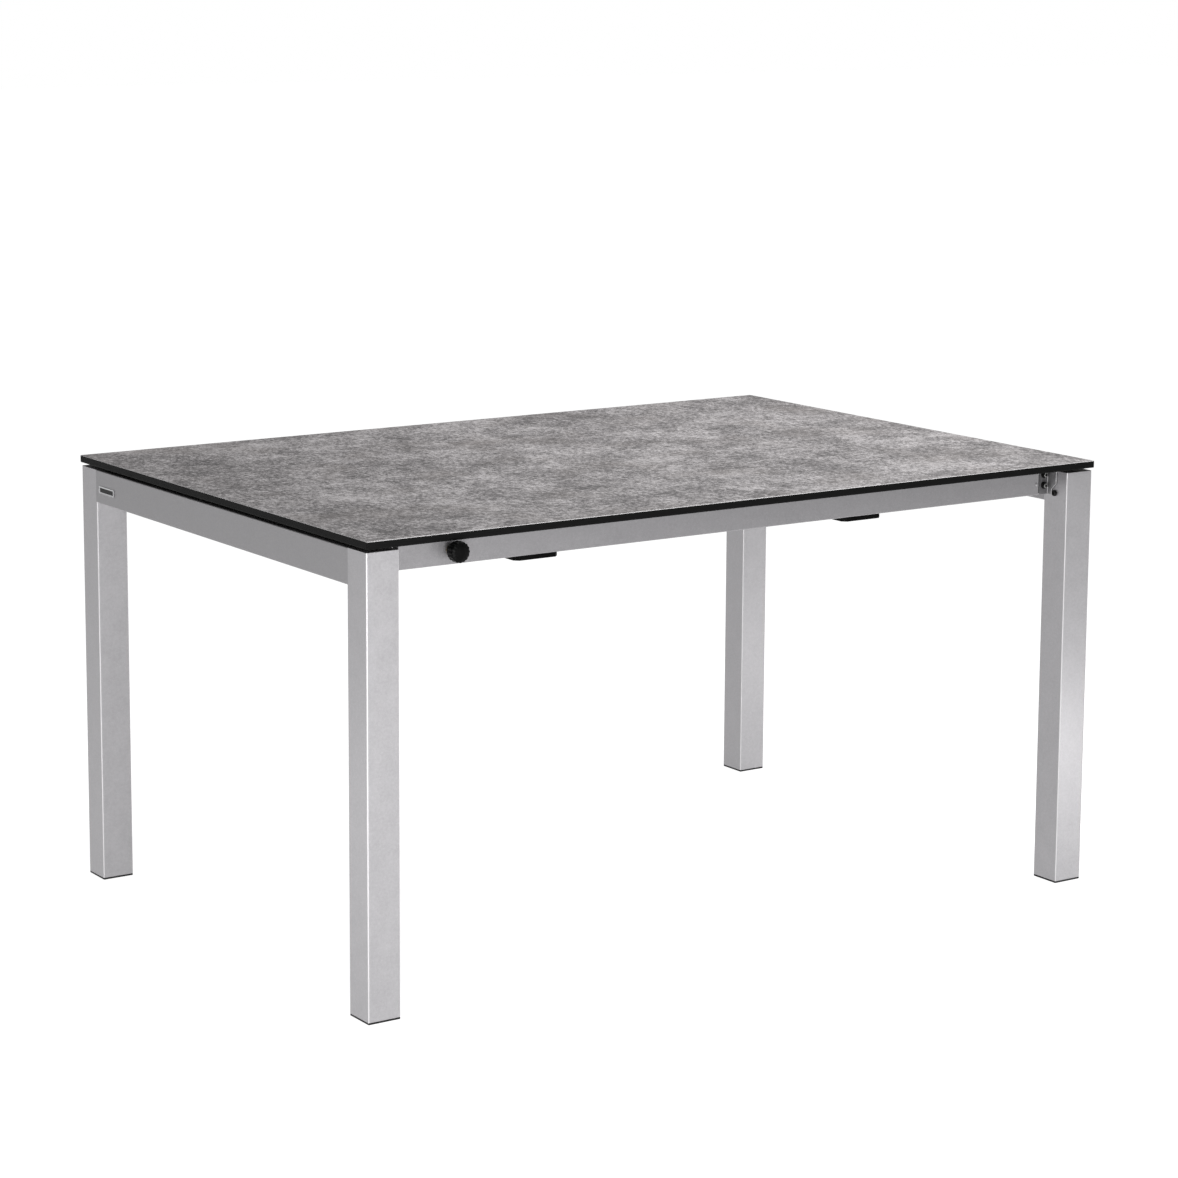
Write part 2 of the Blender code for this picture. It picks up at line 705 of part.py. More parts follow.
def build_glide(name, side, x, plastic):
    """A T-shaped glide: its head runs in the channel beside the screws, its foot is on the inner rail."""
    gap = GLIDE_CLEARANCE
    widest_screw = max(TOP_SCREW_HEAD_RADIUS, CARRIER_SCREW_RADIUS)
    head_out = SIDE_RAIL_OUT + SCREW_LINE + widest_screw + SCREW_RUNNING_GAP
    head_in = SIDE_RAIL_IN - SIDE_RAIL_WALL - gap
    foot = INNER_RAIL_OUT - TOUCH
    low = SIDE_RAIL_BOTTOM + SIDE_RAIL_WALL + gap
    high = SIDE_RAIL_TOP - SIDE_RAIL_WALL - gap
    neck_low = SLOT_MIDDLE - SLOT_HEIGHT / 2 + gap
    neck_high = SLOT_MIDDLE + SLOT_HEIGHT / 2 - gap
    outline = [
        (head_out, low),
        (head_in, low),
        (head_in, neck_low),
        (foot, neck_low),
        (foot, neck_high),
        (head_in, neck_high),
        (head_in, high),
        (head_out, high),
    ]
    placed = [(across(side, distance), z) for distance, z in outline]
    prism(name, placed, GLIDE_LENGTH, along_x((x, 0.0, 0.0)), plastic)


def bracket_screw_levels():
    return {
        "lower": INNER_RAIL_BOTTOM + BRACKET_SCREW_ABOVE_RAIL_FOOT,
        "upper": INNER_RAIL_TOP - BRACKET_SCREW_BELOW_RAIL_TOP,
    }


def build_bracket(name, side, material):
    """An angle that joins an inner rail to its leg, its lower outer corner cut at 45 degrees."""
    thick = BRACKET_THICKNESS
    face = RIGHT_LEG_LOW - TOUCH
    outline = [
        (face, BRACKET_BACK),
        (face - BRACKET_ALONG_RAIL, BRACKET_BACK),
        (face - BRACKET_ALONG_RAIL, BRACKET_FACE),
        (face - thick, BRACKET_FACE),
        (face - thick, BRACKET_TIP),
        (face, BRACKET_TIP),
    ]
    placed = [(x, across(side, distance)) for x, distance in outline]
    height = INNER_RAIL_TOP - BRACKET_LOW
    base = along_z((0.0, 0.0, BRACKET_LOW))
    bracket = prism("corner_bracket_" + name, placed, height, base, material)
    tip = BRACKET_TIP
    chamfer = BRACKET_CHAMFER
    start = BRACKET_LOW + BRACKET_FOOT_HEIGHT
    waste = [
        (tip - chamfer, BRACKET_LOW - chamfer),
        (tip + chamfer, BRACKET_LOW - chamfer),
        (tip + chamfer, start),
        (tip, start + chamfer),
        (tip - chamfer, start + chamfer),
    ]
    waste_placed = [(across(side, distance), z) for distance, z in waste]
    origin = (face - 2 * thick, 0.0, 0.0)
    cut(bracket, prism("bracket corner " + name, waste_placed, 3 * thick, along_x(origin), None))
    for level, z in bracket_screw_levels().items():
        start_y = across(side, BRACKET_BACK - 2 * thick)
        radius = CAP_SHANK_RADIUS + TOUCH
        hole_start = (BRACKET_SCREW_X, start_y, z)
        hole = cylinder(f"bracket hole {level} {name}", hole_start, (0, -side, 0), 3 * thick, radius)
        cut(bracket, hole)


def build_bracket_fasteners(name, side, steel, washer_material):
    for level, z in bracket_screw_levels().items():
        washer_back = BRACKET_FACE - TOUCH
        start = (BRACKET_SCREW_X, across(side, washer_back - WASHER_THICKNESS), z)
        inward = (0, -side, 0)
        washer = cylinder(
            f"washer_{level}_{name}", start, inward, WASHER_THICKNESS, WASHER_RADIUS, washer_material
        )
        hole_start = (BRACKET_SCREW_X, across(side, washer_back - 2 * WASHER_THICKNESS), z)
        radius = CAP_SHANK_RADIUS + TOUCH
        hole = cylinder(f"washer hole {level} {name}", hole_start, inward, 3 * WASHER_THICKNESS, radius)
        cut(washer, hole)
        seat = washer_back - WASHER_THICKNESS - TOUCH
        profile = [
            (-CAP_HEAD_HEIGHT, CAP_HEAD_RADIUS * 0.86),
            (-CAP_HEAD_HEIGHT * 0.75, CAP_HEAD_RADIUS),
            (0.0, CAP_HEAD_RADIUS),
            (0.0, CAP_SHANK_RADIUS),
            (CAP_SHANK_LENGTH, CAP_SHANK_RADIUS),
        ]
        centre = (BRACKET_SCREW_X, across(side, seat), z)
        screw = turned(f"bracket_screw_{level}_{name}", profile, centre, inward, steel)
        socket_start = (BRACKET_SCREW_X, across(side, seat - 2 * CAP_HEAD_HEIGHT), z)
        depth = CAP_HEAD_HEIGHT + HEX_SOCKET_DEPTH
        socket = cylinder(f"hex {level} {name}", socket_start, inward, depth, HEX_SOCKET_RADIUS, segments=6)
        cut(screw, socket)


def build_leg_bolt(name, side, material):
    """A dark dome-headed bolt on the inner face of the right leg."""
    dome = [(LEG_BOLT_HEIGHT * math.sin(t), LEG_BOLT_RADIUS * math.cos(t)) for t in quarter_angles(4)]
    profile = [(0.0, LEG_BOLT_RADIUS)] + dome[1:-1] + [(LEG_BOLT_HEIGHT, 0.0)]
    y = across(side, BRACKET_TIP + LEG_BOLT_FROM_BRACKET_TIP)
    centre = (RIGHT_LEG_LOW - TOUCH, y, BRACKET_LOW + LEG_BOLT_ABOVE_BRACKET_FOOT)
    turned("leg_bolt_" + name, profile, centre, (-1, 0, 0), material, 16)


def quarter_angles(steps):
    return [math.pi / 2 * k / steps for k in range(steps + 1)]


def build_rest_pad(name, side, material):
    """A pad on the right end rail, which carries the slab when closed and the leaf when open."""
    x_range = [RIGHT_LEG_HIGH - END_RAIL_DEPTH / 2 + sign * REST_PAD_WIDTH / 2 for sign in (-1, 1)]
    from_edge = (LEG_IN + REST_PAD_FROM_LEG, LEG_IN + REST_PAD_FROM_LEG + REST_PAD_LENGTH)
    z_low = FRAME_TOP + TOUCH
    z_high = z_low + REST_PAD_THICKNESS
    side_block("rest_pad_" + name, side, x_range, from_edge, (z_low, z_high), material, 0.0008)


# ---- clamp knobs --------------------------------------------------------------------------------


def build_clamp(name, side, plastic, steel, brass):
    """A star knob on a threaded stud, its bush in the rail wall, and its swivelling pressure pad."""
    inward = Vector((0, -side, 0))
    pad_face = INNER_RAIL_OUT - TOUCH
    pad_start = pad_face - PAD_THICKNESS
    pad_centre = (KNOB_X, across(side, pad_start), SLOT_MIDDLE)
    pad = cylinder("clamp_pad_" + name, pad_centre, inward, PAD_THICKNESS, PAD_RADIUS, plastic, 16)
    pocket_start = (KNOB_X, across(side, pad_start - PAD_POCKET), SLOT_MIDDLE)
    pocket_radius = STUD_RADIUS + STUD_CLEARANCE
    pocket = cylinder("pad pocket " + name, pocket_start, inward, 2 * PAD_POCKET, pocket_radius, segments=16)
    cut(pad, pocket)

    hub_inner = SIDE_RAIL_OUT - INSERT_FLANGE - TOUCH - KNOB_STANDOFF
    head_outer = hub_inner - KNOB_HUB_LENGTH - KNOB_HEAD_LENGTH
    build_knob_head(name, side, head_outer, plastic)

    stud_outer = hub_inner - KNOB_BORE_DEPTH + STUD_CLEARANCE
    stud_inner = pad_start + PAD_POCKET - TOUCH
    stud_start = (KNOB_X, across(side, stud_outer), SLOT_MIDDLE)
    stud_length = stud_inner - stud_outer
    profile = [
        (0.0, STUD_RADIUS),
        (stud_length - 0.001, STUD_RADIUS),
        (stud_length, STUD_RADIUS - 0.001),
    ]
    turned("clamp_stud_" + name, profile, stud_start, inward, steel, 16)

    flange_start = SIDE_RAIL_OUT - TOUCH - INSERT_FLANGE
    bush_profile = [
        (0.0, INSERT_FLANGE_RADIUS),
        (INSERT_FLANGE, INSERT_FLANGE_RADIUS),
        (INSERT_FLANGE, INSERT_BARREL_RADIUS),
        (INSERT_FLANGE + INSERT_BARREL_DEPTH, INSERT_BARREL_RADIUS),
    ]
    bush_centre = (KNOB_X, across(side, flange_start), SLOT_MIDDLE)
    bush = turned("clamp_bush_" + name, bush_profile, bush_centre, inward, brass)
    bore_start = (KNOB_X, across(side, flange_start - INSERT_FLANGE), SLOT_MIDDLE)
    bore_length = 3 * INSERT_FLANGE + INSERT_BARREL_DEPTH
    bore = cylinder("bush bore " + name, bore_start, inward, bore_length, STUD_RADIUS + STUD_CLEARANCE)
    cut(bush, bore)


def knob_radius(angle):
    """The star outline: a circle with evenly spaced round flutes."""
    wave = (1 + math.cos(KNOB_LOBES * angle)) / 2
    return KNOB_RADIUS - KNOB_LOBE_DEPTH * (1 - wave**0.6)


def build_knob_head(name, side, head_outer, plastic):
    """Rings from the domed front back to the hub; the head's rings follow the star outline."""
    around = 6 * KNOB_LOBES
    angles = [2 * math.pi * k / around for k in range(around)]
    length = KNOB_HEAD_LENGTH + KNOB_HUB_LENGTH
    levels = [
        (0.0, 0.55, "star"),
        (KNOB_DOME * 0.45, 0.86, "star"),
        (KNOB_DOME, 1.0, "star"),
        (KNOB_HEAD_LENGTH - 0.0015, 1.0, "star"),
        (KNOB_HEAD_LENGTH, 0.92, "star"),
        (KNOB_HEAD_LENGTH, KNOB_HUB_RADIUS, "round"),
        (length, KNOB_HUB_RADIUS, "round"),
    ]
    mesh_data = bmesh.new()
    rings = []
    for along, size, kind in levels:
        radii = [knob_radius(t) * size if kind == "star" else size for t in angles]
        ring = [(r * math.cos(t), r * math.sin(t), along) for r, t in zip(radii, angles)]
        rings.append([mesh_data.verts.new(point) for point in ring])
    for first, second in zip(rings, rings[1:]):
        join_rings(mesh_data, first, second, around)
    mesh_data.faces.new(rings[0])
    mesh_data.faces.new(rings[-1])
    turn = Vector((0, 0, 1)).rotation_difference(Vector((0, -side, 0))).to_matrix().to_4x4()
    bmesh.ops.transform(mesh_data, matrix=turn, verts=mesh_data.verts)
    centre = (KNOB_X, across(side, head_outer), SLOT_MIDDLE)
    knob = finish_mesh("clamp_knob_" + name, mesh_data, plastic, centre)
    knob.data.shade_smooth()
    knob.data.set_sharp_from_angle(angle=math.radians(35))
    bore_start = (KNOB_X, across(side, head_outer + length - KNOB_BORE_DEPTH), SLOT_MIDDLE)
    radius = STUD_RADIUS + STUD_CLEARANCE
    inward = (0, -side, 0)
    cut(knob, cylinder("knob bore " + name, bore_start, inward, 2 * KNOB_BORE_DEPTH, radius, segments=16))


# ---- the whole table ----------------------------------------------------------------------------


def clear_scene():
    for item in list(bpy.data.objects):
        bpy.data.objects.remove(item)


def main():
    clear_scene()
    laminate = make_material("stone laminate", (0.28, 0.275, 0.278), 0.55, 0.0)
    aluminium = make_material("coated aluminium", (0.52, 0.52, 0.53), 0.4, 0.6)
    plastic = make_material("black plastic", (0.02, 0.02, 0.021), 0.5, 0.0)
    black_metal = make_material("black coated steel", (0.025, 0.025, 0.026), 0.45, 0.3)
    steel = make_material("zinc plated steel", (0.55, 0.55, 0.54), 0.3, 1.0)
    brass = make_material("brass", (0.6, 0.47, 0.22), 0.35, 1.0)
    plate_metal = make_material("plate metal", (0.6, 0.6, 0.6), 0.35, 1.0)

    build_tabletop(laminate)
    build_leaf(laminate, steel)
    build_leg_set("left", LEFT_LEG_LOW, aluminium, plastic)
    build_leg_set("right", RIGHT_LEG_LOW, aluminium, plastic)
    build_plate(plate_metal)
    build_top_screws(steel)
    for name, x_middle in CARRIER_CENTRES.items():
        build_carrier(name, x_middle, black_metal)
    build_carrier_screws(steel)
    for name, side in SIDES.items():
        build_side_rail(name, side, aluminium)
        build_rail_guide(name, side, plastic)
        build_inner_rail(name, side, aluminium, plastic)
        build_bracket(name, side, aluminium)
        build_bracket_fasteners(name, side, steel, plastic)
        build_leg_bolt(name, side, plastic)
        build_rest_pad(name, side, plastic)
        build_clamp(name, side, plastic, steel, brass)


main()
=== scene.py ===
# %% [markdown]
# # An extendable dining table
# The table is a stone-look laminate slab on a silver powder-coated aluminium frame. The right-hand
# legs pull out on rails, and a second leaf of the same laminate waits under the slab. This lesson
# dresses the working model, which already knows where every part is and how it moves. Parts whose
# shape is already right only get a finish. Parts that need soft edges, flutes or sockets are made
# again as surfaces worked out with numpy, and stand in for the plain ones.

import math

import bmesh
import bpy
import numpy as np
from mathutils import Matrix, Vector


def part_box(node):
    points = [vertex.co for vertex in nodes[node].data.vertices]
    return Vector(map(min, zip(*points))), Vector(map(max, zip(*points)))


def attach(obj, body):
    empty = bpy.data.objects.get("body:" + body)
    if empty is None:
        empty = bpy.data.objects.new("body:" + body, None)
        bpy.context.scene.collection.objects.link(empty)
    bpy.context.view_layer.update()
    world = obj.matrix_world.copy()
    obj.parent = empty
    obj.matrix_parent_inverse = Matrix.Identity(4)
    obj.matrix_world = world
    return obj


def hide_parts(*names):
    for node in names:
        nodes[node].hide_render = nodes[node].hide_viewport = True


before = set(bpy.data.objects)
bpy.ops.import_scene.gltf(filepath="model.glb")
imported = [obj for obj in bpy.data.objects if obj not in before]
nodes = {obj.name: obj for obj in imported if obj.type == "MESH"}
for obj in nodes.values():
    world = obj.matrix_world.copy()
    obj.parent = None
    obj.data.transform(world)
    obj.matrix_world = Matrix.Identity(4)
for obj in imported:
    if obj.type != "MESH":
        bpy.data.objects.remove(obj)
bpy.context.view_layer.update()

# %% [markdown]
# ## The camera
# The table is seen from the front left, from a little above the slab, through a long lens. A camera
# in Blender looks along its own -Z, so its turn is built from three directions: right, up and back.
# The shift slides the picture in its plane, as a view camera does, and keeps the legs upright.

# %% Set up the camera
CAMERA_PLACE = Vector((-2.9583, -4.3535, 1.5475))
HEADING = 0.58271
DIP = 0.15668
LEAN = 0.00346


def looking(heading, dip, lean):
    """The camera's turn: ahead is the heading on the floor dipped downwards, right is level and
    square to it, and both right and up are then leaned round the line of sight."""
    flat = math.cos(dip)
    ahead = Vector((math.sin(heading) * flat, math.cos(heading) * flat, -math.sin(dip)))
    level = Vector((math.cos(heading), -math.sin(heading), 0.0))
    above = level.cross(ahead)
    right = math.cos(lean) * level + math.sin(lean) * above
    up = math.cos(lean) * above - math.sin(lean) * level
    return np.array([right, up, -ahead]).T


camera_data = bpy.data.cameras.new("camera")
camera_data.sensor_width = 36.0
camera_data.lens = 97.61
camera_data.shift_x = 0.0402
camera_data.shift_y = -0.1096
camera = bpy.data.objects.new("camera", camera_data)
bpy.context.scene.collection.objects.link(camera)
camera_turn = np.eye(4)
camera_turn[:3, :3] = looking(HEADING, DIP, LEAN)
camera_turn[:3, 3] = CAMERA_PLACE
camera.matrix_world = Matrix(camera_turn.tolist())
bpy.context.scene.camera = camera
bpy.context.scene.view_settings.view_transform = "Standard"
print("camera at", [round(v, 2) for v in CAMERA_PLACE])

# %% [markdown]
# ## The studio
# A pale sweep lit from all round leaves hardly any shadow. The floor gives off most of its light
# itself, like a light table, so it stays clean under the table too. The room looks white, but lights
# the table only faintly. A soft lamp stands in front of the left end, so the long sides are lighter
# than the short ones and grow darker to the right. Another hangs overhead for the slab, and three
# low ones near the floor brighten the feet.

# %% Build the floor
FLOOR_REACH = 30.0
FLOOR_GLOW = 0.97


def add_node(material, kind, values=None, **settings):
    """Put one node in a material, give its inputs their values and its options their settings."""
    made = material.node_tree.nodes.new(kind)
    for setting, value in settings.items():
        setattr(made, setting, value)
    for socket, value in (values or {}).items():
        made.inputs[socket].default_value = value
    return made


def new_material(name, colour, roughness, metallic=0.0, shine=0.5):
    """A material of one principled shader, with its plain colour also set for solid view. The shine
    is how much of its light a surface that isn't metal throws straight back."""
    material = bpy.data.materials.new(name)
    material.use_nodes = True
    shader = material.node_tree.nodes["Principled BSDF"]
    shader.inputs["Base Color"].default_value = (*colour, 1.0)
    shader.inputs["Roughness"].default_value = roughness
    shader.inputs["Metallic"].default_value = metallic
    shader.inputs["Specular IOR Level"].default_value = shine
    material.diffuse_color = (*colour, 1.0)
    return material, shader


floor_finish, floor_shader = new_material("pale floor", (0.25, 0.25, 0.25), 0.4)
floor_shader.inputs["Emission Color"].default_value = (1.0, 1.0, 1.0, 1.0)
floor_shader.inputs["Emission Strength"].default_value = FLOOR_GLOW
floor_mesh = bpy.data.meshes.new("floor")
floor_corners = FLOOR_REACH * np.array([[-1, -1, 0], [1, -1, 0], [1, 1, 0], [-1, 1, 0]])
floor_mesh.from_pydata(floor_corners.tolist(), [], [[0, 1, 2, 3]])
floor_mesh.materials.append(floor_finish)
floor = bpy.data.objects.new("floor", floor_mesh)
bpy.context.scene.collection.objects.link(floor)
print("floor", FLOOR_REACH * 2, "m across")

# %% Hang the lights
ROOM_LIGHT = 0.14
world = bpy.data.worlds.new("white room")
world.use_nodes = True
bpy.context.scene.world = world
backdrop = world.node_tree.nodes["Background"]
backdrop.inputs["Color"].default_value = (1.0, 1.0, 1.0, 1.0)
seen = add_node(world, "ShaderNodeLightPath")
brightness = add_node(world, "ShaderNodeMapRange", {3: ROOM_LIGHT, 4: 1.0})
world.node_tree.links.new(seen.outputs["Is Camera Ray"], brightness.inputs[0])
world.node_tree.links.new(brightness.outputs[0], backdrop.inputs["Strength"])


def soft_lamp(name, place, target, width, height, power):
    """An oblong area lamp at a place, turned so that its face looks at the target."""
    data = bpy.data.lights.new(name, "AREA")
    data.shape = "RECTANGLE"
    data.size = width
    data.size_y = height
    data.energy = power
    lamp = bpy.data.objects.new(name, data)
    lamp.location = place
    lamp.rotation_euler = (Vector(target) - Vector(place)).to_track_quat("-Z", "Y").to_euler()
    lamp.visible_camera = False
    bpy.context.scene.collection.objects.link(lamp)


soft_lamp("front lamp", (-0.95, -1.6, 0.5), (-0.7, -0.47, 0.5), 0.5, 0.8, 13.5)
soft_lamp("overhead lamp", (1.0, -0.2, 2.8), (0.2, 0.0, 0.7), 2.2, 2.2, 91.0)
soft_lamp("low near lamp", (1.0, -1.15, 0.08), (0.67, -0.49, 0.05), 0.5, 0.1, 1.7)
soft_lamp("low far lamp", (1.0, -0.25, 0.08), (0.67, 0.44, 0.05), 0.4, 0.1, 0.5)
soft_lamp("low left lamp", (-1.45, -0.05, 0.08), (-0.7, 0.0, 0.05), 1.3, 0.1, 1.8)
print("white room and five soft lamps")

# %% [markdown]
# ## Lines, rings and skins
# Nearly every part here is one outline carried along a straight path: a slab, a square leg, a
# rail. The outline's corners are eased, and towards each end the outline draws in a little, which
# eases the cut edge too. A few helpers do all of it on whole arrays.

# %% Ease the corners of a line
FLAT = 0.0003


def unit(rows):
    """Each row divided by its own length."""
    return rows / np.maximum(np.linalg.norm(rows, axis=-1, keepdims=True), 1e-12)


def eased(corners, reach, closed=True, steps=5, flat=FLAT):
    """Every corner B becomes the curve (1-t)^2 A + 2t(1-t) B + t^2 C, where A and C lie on the two
    sides at the reach from B. One more point, the flat's length further along each side, keeps the
    side shaded flat. An open line keeps its first and last corner as they are."""
    corners = np.asarray(corners, float)
    reach = np.broadcast_to(reach, len(corners))[:, None]
    back = unit(np.roll(corners, 1, 0) - corners)
    on = unit(np.roll(corners, -1, 0) - corners)
    start = corners + back * reach
    end = corners + on * reach
    t = np.linspace(0, 1, steps + 1)[None, :, None]
    curve = (1 - t) ** 2 * start[:, None] + 2 * t * (1 - t) * corners[:, None] + t**2 * end[:, None]
    rows = [(start + back * flat)[:, None], curve, (end + on * flat)[:, None]]
    line = np.concatenate(rows, 1)
    if closed:
        return line.reshape(-1, 2)
    return np.concatenate([corners[:1], line[1:-1].reshape(-1, 2), corners[-1:]])


def rectangle(width, height, reach, steps=5):
    """A rectangle round the origin, counter-clockwise, with its corners eased by the reach."""
    half = np.array([width, height]) / 2
    corners = half * np.array([[-1, -1], [1, -1], [1, 1], [-1, 1]])
    return eased(corners, reach, steps=steps)


print("a leg's outline has", len(rectangle(0.055, 0.055, 0.002)), "points")

# %% Carry an outline along a path


def bar_sections(length, ease, steps=4, flat=FLAT):
    """Rows of (how far along, how far drawn in), from 0 to the length: nothing is drawn in but at
    the two ends, where the line turns inwards round an eased corner."""
    deep = ease + 2 * flat
    corners = [(0, deep), (0, 0), (length, 0), (length, deep)]
    return eased(corners, [0, ease, ease, 0], closed=False, steps=steps, flat=flat)


def carry(outline, sections):
    """One ring for each section: the outline moved inwards along its own normal by the section's
    second number, at the height of its first. The outline runs counter-clockwise."""
    along = np.roll(outline, -1, 0) - np.roll(outline, 1, 0)
    inward = unit(np.stack([-along[:, 1], along[:, 0]], -1))
    flat = outline[None] + sections[:, 1, None, None] * inward[None]
    height = np.broadcast_to(sections[:, 0, None, None], (*flat.shape[:2], 1))
    return np.concatenate([flat, height], -1)


def spin(profile, count, shape=None):
    """One ring for each (along, radius) of the profile: the radius swept round the axis in count
    steps. The shape, if given, is how many times the radius reaches at each ring and angle."""
    angle = np.linspace(0, 2 * np.pi, count, endpoint=False)
    factor = np.ones((len(profile), count)) if shape is None else shape(angle)
    radius = profile[:, 1, None] * factor
    along = np.broadcast_to(profile[:, 0, None], radius.shape)
    return np.stack([radius * np.cos(angle), radius * np.sin(angle), along], -1)


def lay(rings, origin, across, upward, along):
    """The rings' own three directions turned to the given ones, then moved to the origin given."""
    return np.asarray(origin, float) + rings @ np.array([across, upward, along], float)


print("helpers for carried and spun shapes are ready")

# %% Skin the rings and make the piece


def skin(rings, ends="face"):
    """Points and faces: four-sided faces between neighbouring rings, and an end over the first and
    last ring. A "strip" end joins the two halves of a ring that goes out one wall and back along
    the other, as a channel's does. "open" leaves the ends bare, for rings that meet again."""
    rows, count = rings.shape[:2]
    row, column = np.meshgrid(np.arange(rows - 1), np.arange(count), indexing="ij")
    beside = (column + 1) % count
    start = row * count
    quads = np.stack([start + column, start + beside, start + count + beside, start + count + column], -1)
    faces = quads.reshape(-1, 4).tolist()
    last = (rows - 1) * count
    if ends == "face":
        ring = np.arange(count)
        faces += [ring[::-1].tolist(), (ring + last).tolist()]
    if ends == "strip":
        out = np.arange(count // 2 - 1)
        home = count - 1 - out
        strip = np.stack([out, out + 1, home - 1, home], -1)
        faces += strip[:, ::-1].tolist() + (strip + last).tolist()
    return rings.reshape(-1, 3), faces


def make_piece(name, shells, finish, body, stands_for=(), sharp=40.0):
    """One object from one or more closed skins. Doubles are merged, normals are turned outwards,
    and only edges sharper than the given angle stay hard."""
    points = np.concatenate([shell[0] for shell in shells])
    starts = np.cumsum([0] + [len(shell[0]) for shell in shells])
    faces = [[int(start) + v for v in face] for start, shell in zip(starts, shells) for face in shell[1]]
    mesh = bpy.data.meshes.new(name)
    mesh.from_pydata(points.tolist(), [], faces)
    work = bmesh.new()
    work.from_mesh(mesh)
    bmesh.ops.remove_doubles(work, verts=work.verts, dist=1e-6)
    bmesh.ops.recalc_face_normals(work, faces=work.faces)
    work.to_mesh(mesh)
    work.free()
    mesh.shade_smooth()
    mesh.set_sharp_from_angle(angle=math.radians(sharp))
    mesh.materials.append(finish)
    piece = bpy.data.objects.new(name, mesh)
    bpy.context.scene.collection.objects.link(piece)
    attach(piece, body)
    if stands_for:
        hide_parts(*stands_for)
    return piece


X, Y, Z = np.eye(3)
FIXED, SLIDING = "fixed_frame", "pull_out_frame"
SIDES = {"near": -1, "far": 1}
ENDS = {"left": FIXED, "right": SLIDING}
print("ready to make pieces")

# %% [markdown]
# ## Helpers for finishes
# Every finish is a few noise patterns at different sizes, read on Object coordinates. The pieces
# all sit at the origin of one shared frame, so a pattern has its true size in metres and runs
# through from one part to the next. A noise of scale 100 has blotches about a centimetre apart.

# %% Patterns for finishes


def wire(material, output, node, socket):
    """Join an output to a node's input."""
    material.node_tree.links.new(output, node.inputs[socket])


def stretched(material, scale=(1.0, 1.0, 1.0), turn=0.0):
    """Object coordinates, multiplied by a number along each axis and turned about Z."""
    place = add_node(material, "ShaderNodeTexCoord")
    values = {"Scale": scale, "Rotation": (0.0, 0.0, turn)}
    mapping = add_node(material, "ShaderNodeMapping", values)
    wire(material, place.outputs["Object"], mapping, "Vector")
    return mapping.outputs["Vector"]


def noise(material, place, scale, detail=3.0, rough=0.5):
    """Smooth random blotches between 0 and 1, about 1/scale metres apart."""
    values = {"Scale": scale, "Detail": detail, "Roughness": rough}
    made = add_node(material, "ShaderNodeTexNoise", values)
    wire(material, place, made, "Vector")
    return made.outputs["Fac"]


def ranged(material, value, low, high, out_low, out_high):
    """The value read between low and high, as a number between out_low and out_high."""
    values = {1: low, 2: high, 3: out_low, 4: out_high}
    made = add_node(material, "ShaderNodeMapRange", values)
    wire(material, value, made, 0)
    return made.outputs[0]


def summed(material, *shares):
    """The sum of each value times its share."""
    total = None
    for value, share in shares:
        part = add_node(material, "ShaderNodeMath", {1: share}, operation="MULTIPLY")
        wire(material, value, part, 0)
        if total is None:
            total = part.outputs[0]
            continue
        both = add_node(material, "ShaderNodeMath", operation="ADD")
        wire(material, total, both, 0)
        wire(material, part.outputs[0], both, 1)
        total = both.outputs[0]
    return total


def ramp(material, value, *stops):
    """A colour for each value, from stops of (place, colour) joined by straight blends."""
    made = add_node(material, "ShaderNodeValToRGB")
    elements = made.color_ramp.elements
    elements[0].position = stops[0][0]
    elements[1].position = stops[-1][0]
    for place, _ in stops[1:-1]:
        elements.new(place)
    for element, (_, colour) in zip(elements, stops):
        element.color = (*colour, 1.0)
    wire(material, value, made, "Fac")
    return made.outputs["Color"]


def tinted(material, factor, first, second):
    """Two colours blended by a factor. Each colour is an output or a plain colour."""
    made = add_node(material, "ShaderNodeMix", data_type="RGBA")
    for socket, colour in ((6, first), (7, second)):
        if isinstance(colour, tuple):
            made.inputs[socket].default_value = (*colour, 1.0)
        else:
            wire(material, colour, made, socket)
    wire(material, factor, made, 0)
    return made.outputs[2]


def arris(material, axes):
    """1 on edges that face between the two named axes, 0 on faces that look along any one axis: the
    squares of the surface direction's two numbers are multiplied, and a product from 0.02 to 0.2 is
    read as 0 to 1."""
    place = add_node(material, "ShaderNodeTexCoord")
    parts = add_node(material, "ShaderNodeSeparateXYZ")
    wire(material, place.outputs["Normal"], parts, "Vector")
    squares = []
    for axis in axes:
        square = add_node(material, "ShaderNodeMath", {1: 2.0}, operation="POWER")
        size = add_node(material, "ShaderNodeMath", operation="ABSOLUTE")
        wire(material, parts.outputs[axis], size, 0)
        wire(material, size.outputs[0], square, 0)
        squares.append(square.outputs[0])
    both = add_node(material, "ShaderNodeMath", operation="MULTIPLY")
    wire(material, squares[0], both, 0)
    wire(material, squares[1], both, 1)
    return ranged(material, both.outputs[0], 0.02, 0.2, 0.0, 1.0)


def raised(material, shader, height, depth, strength):
    """Small hills on the surface, the given number of metres high where the value is 1."""
    bump = add_node(material, "ShaderNodeBump", {"Strength": strength, "Distance": depth})
    wire(material, height, bump, "Height")
    wire(material, bump.outputs["Normal"], shader, "Normal")


print("noise, ramps, tints and bumps are ready")

# %% [markdown]
# ## Stone laminate
# The slab is a compact laminate board: a printed stone sheet under clear resin, pressed onto a
# near-black core. The print is cloudy, with veils a hand wide, blotches of a few centimetres and a
# sharp grain of a few millimetres on top. A little brown lies in some of the veils.
# The core shows only at the edges, which are milled and have a dull shine.

# %% Mix the stone laminate


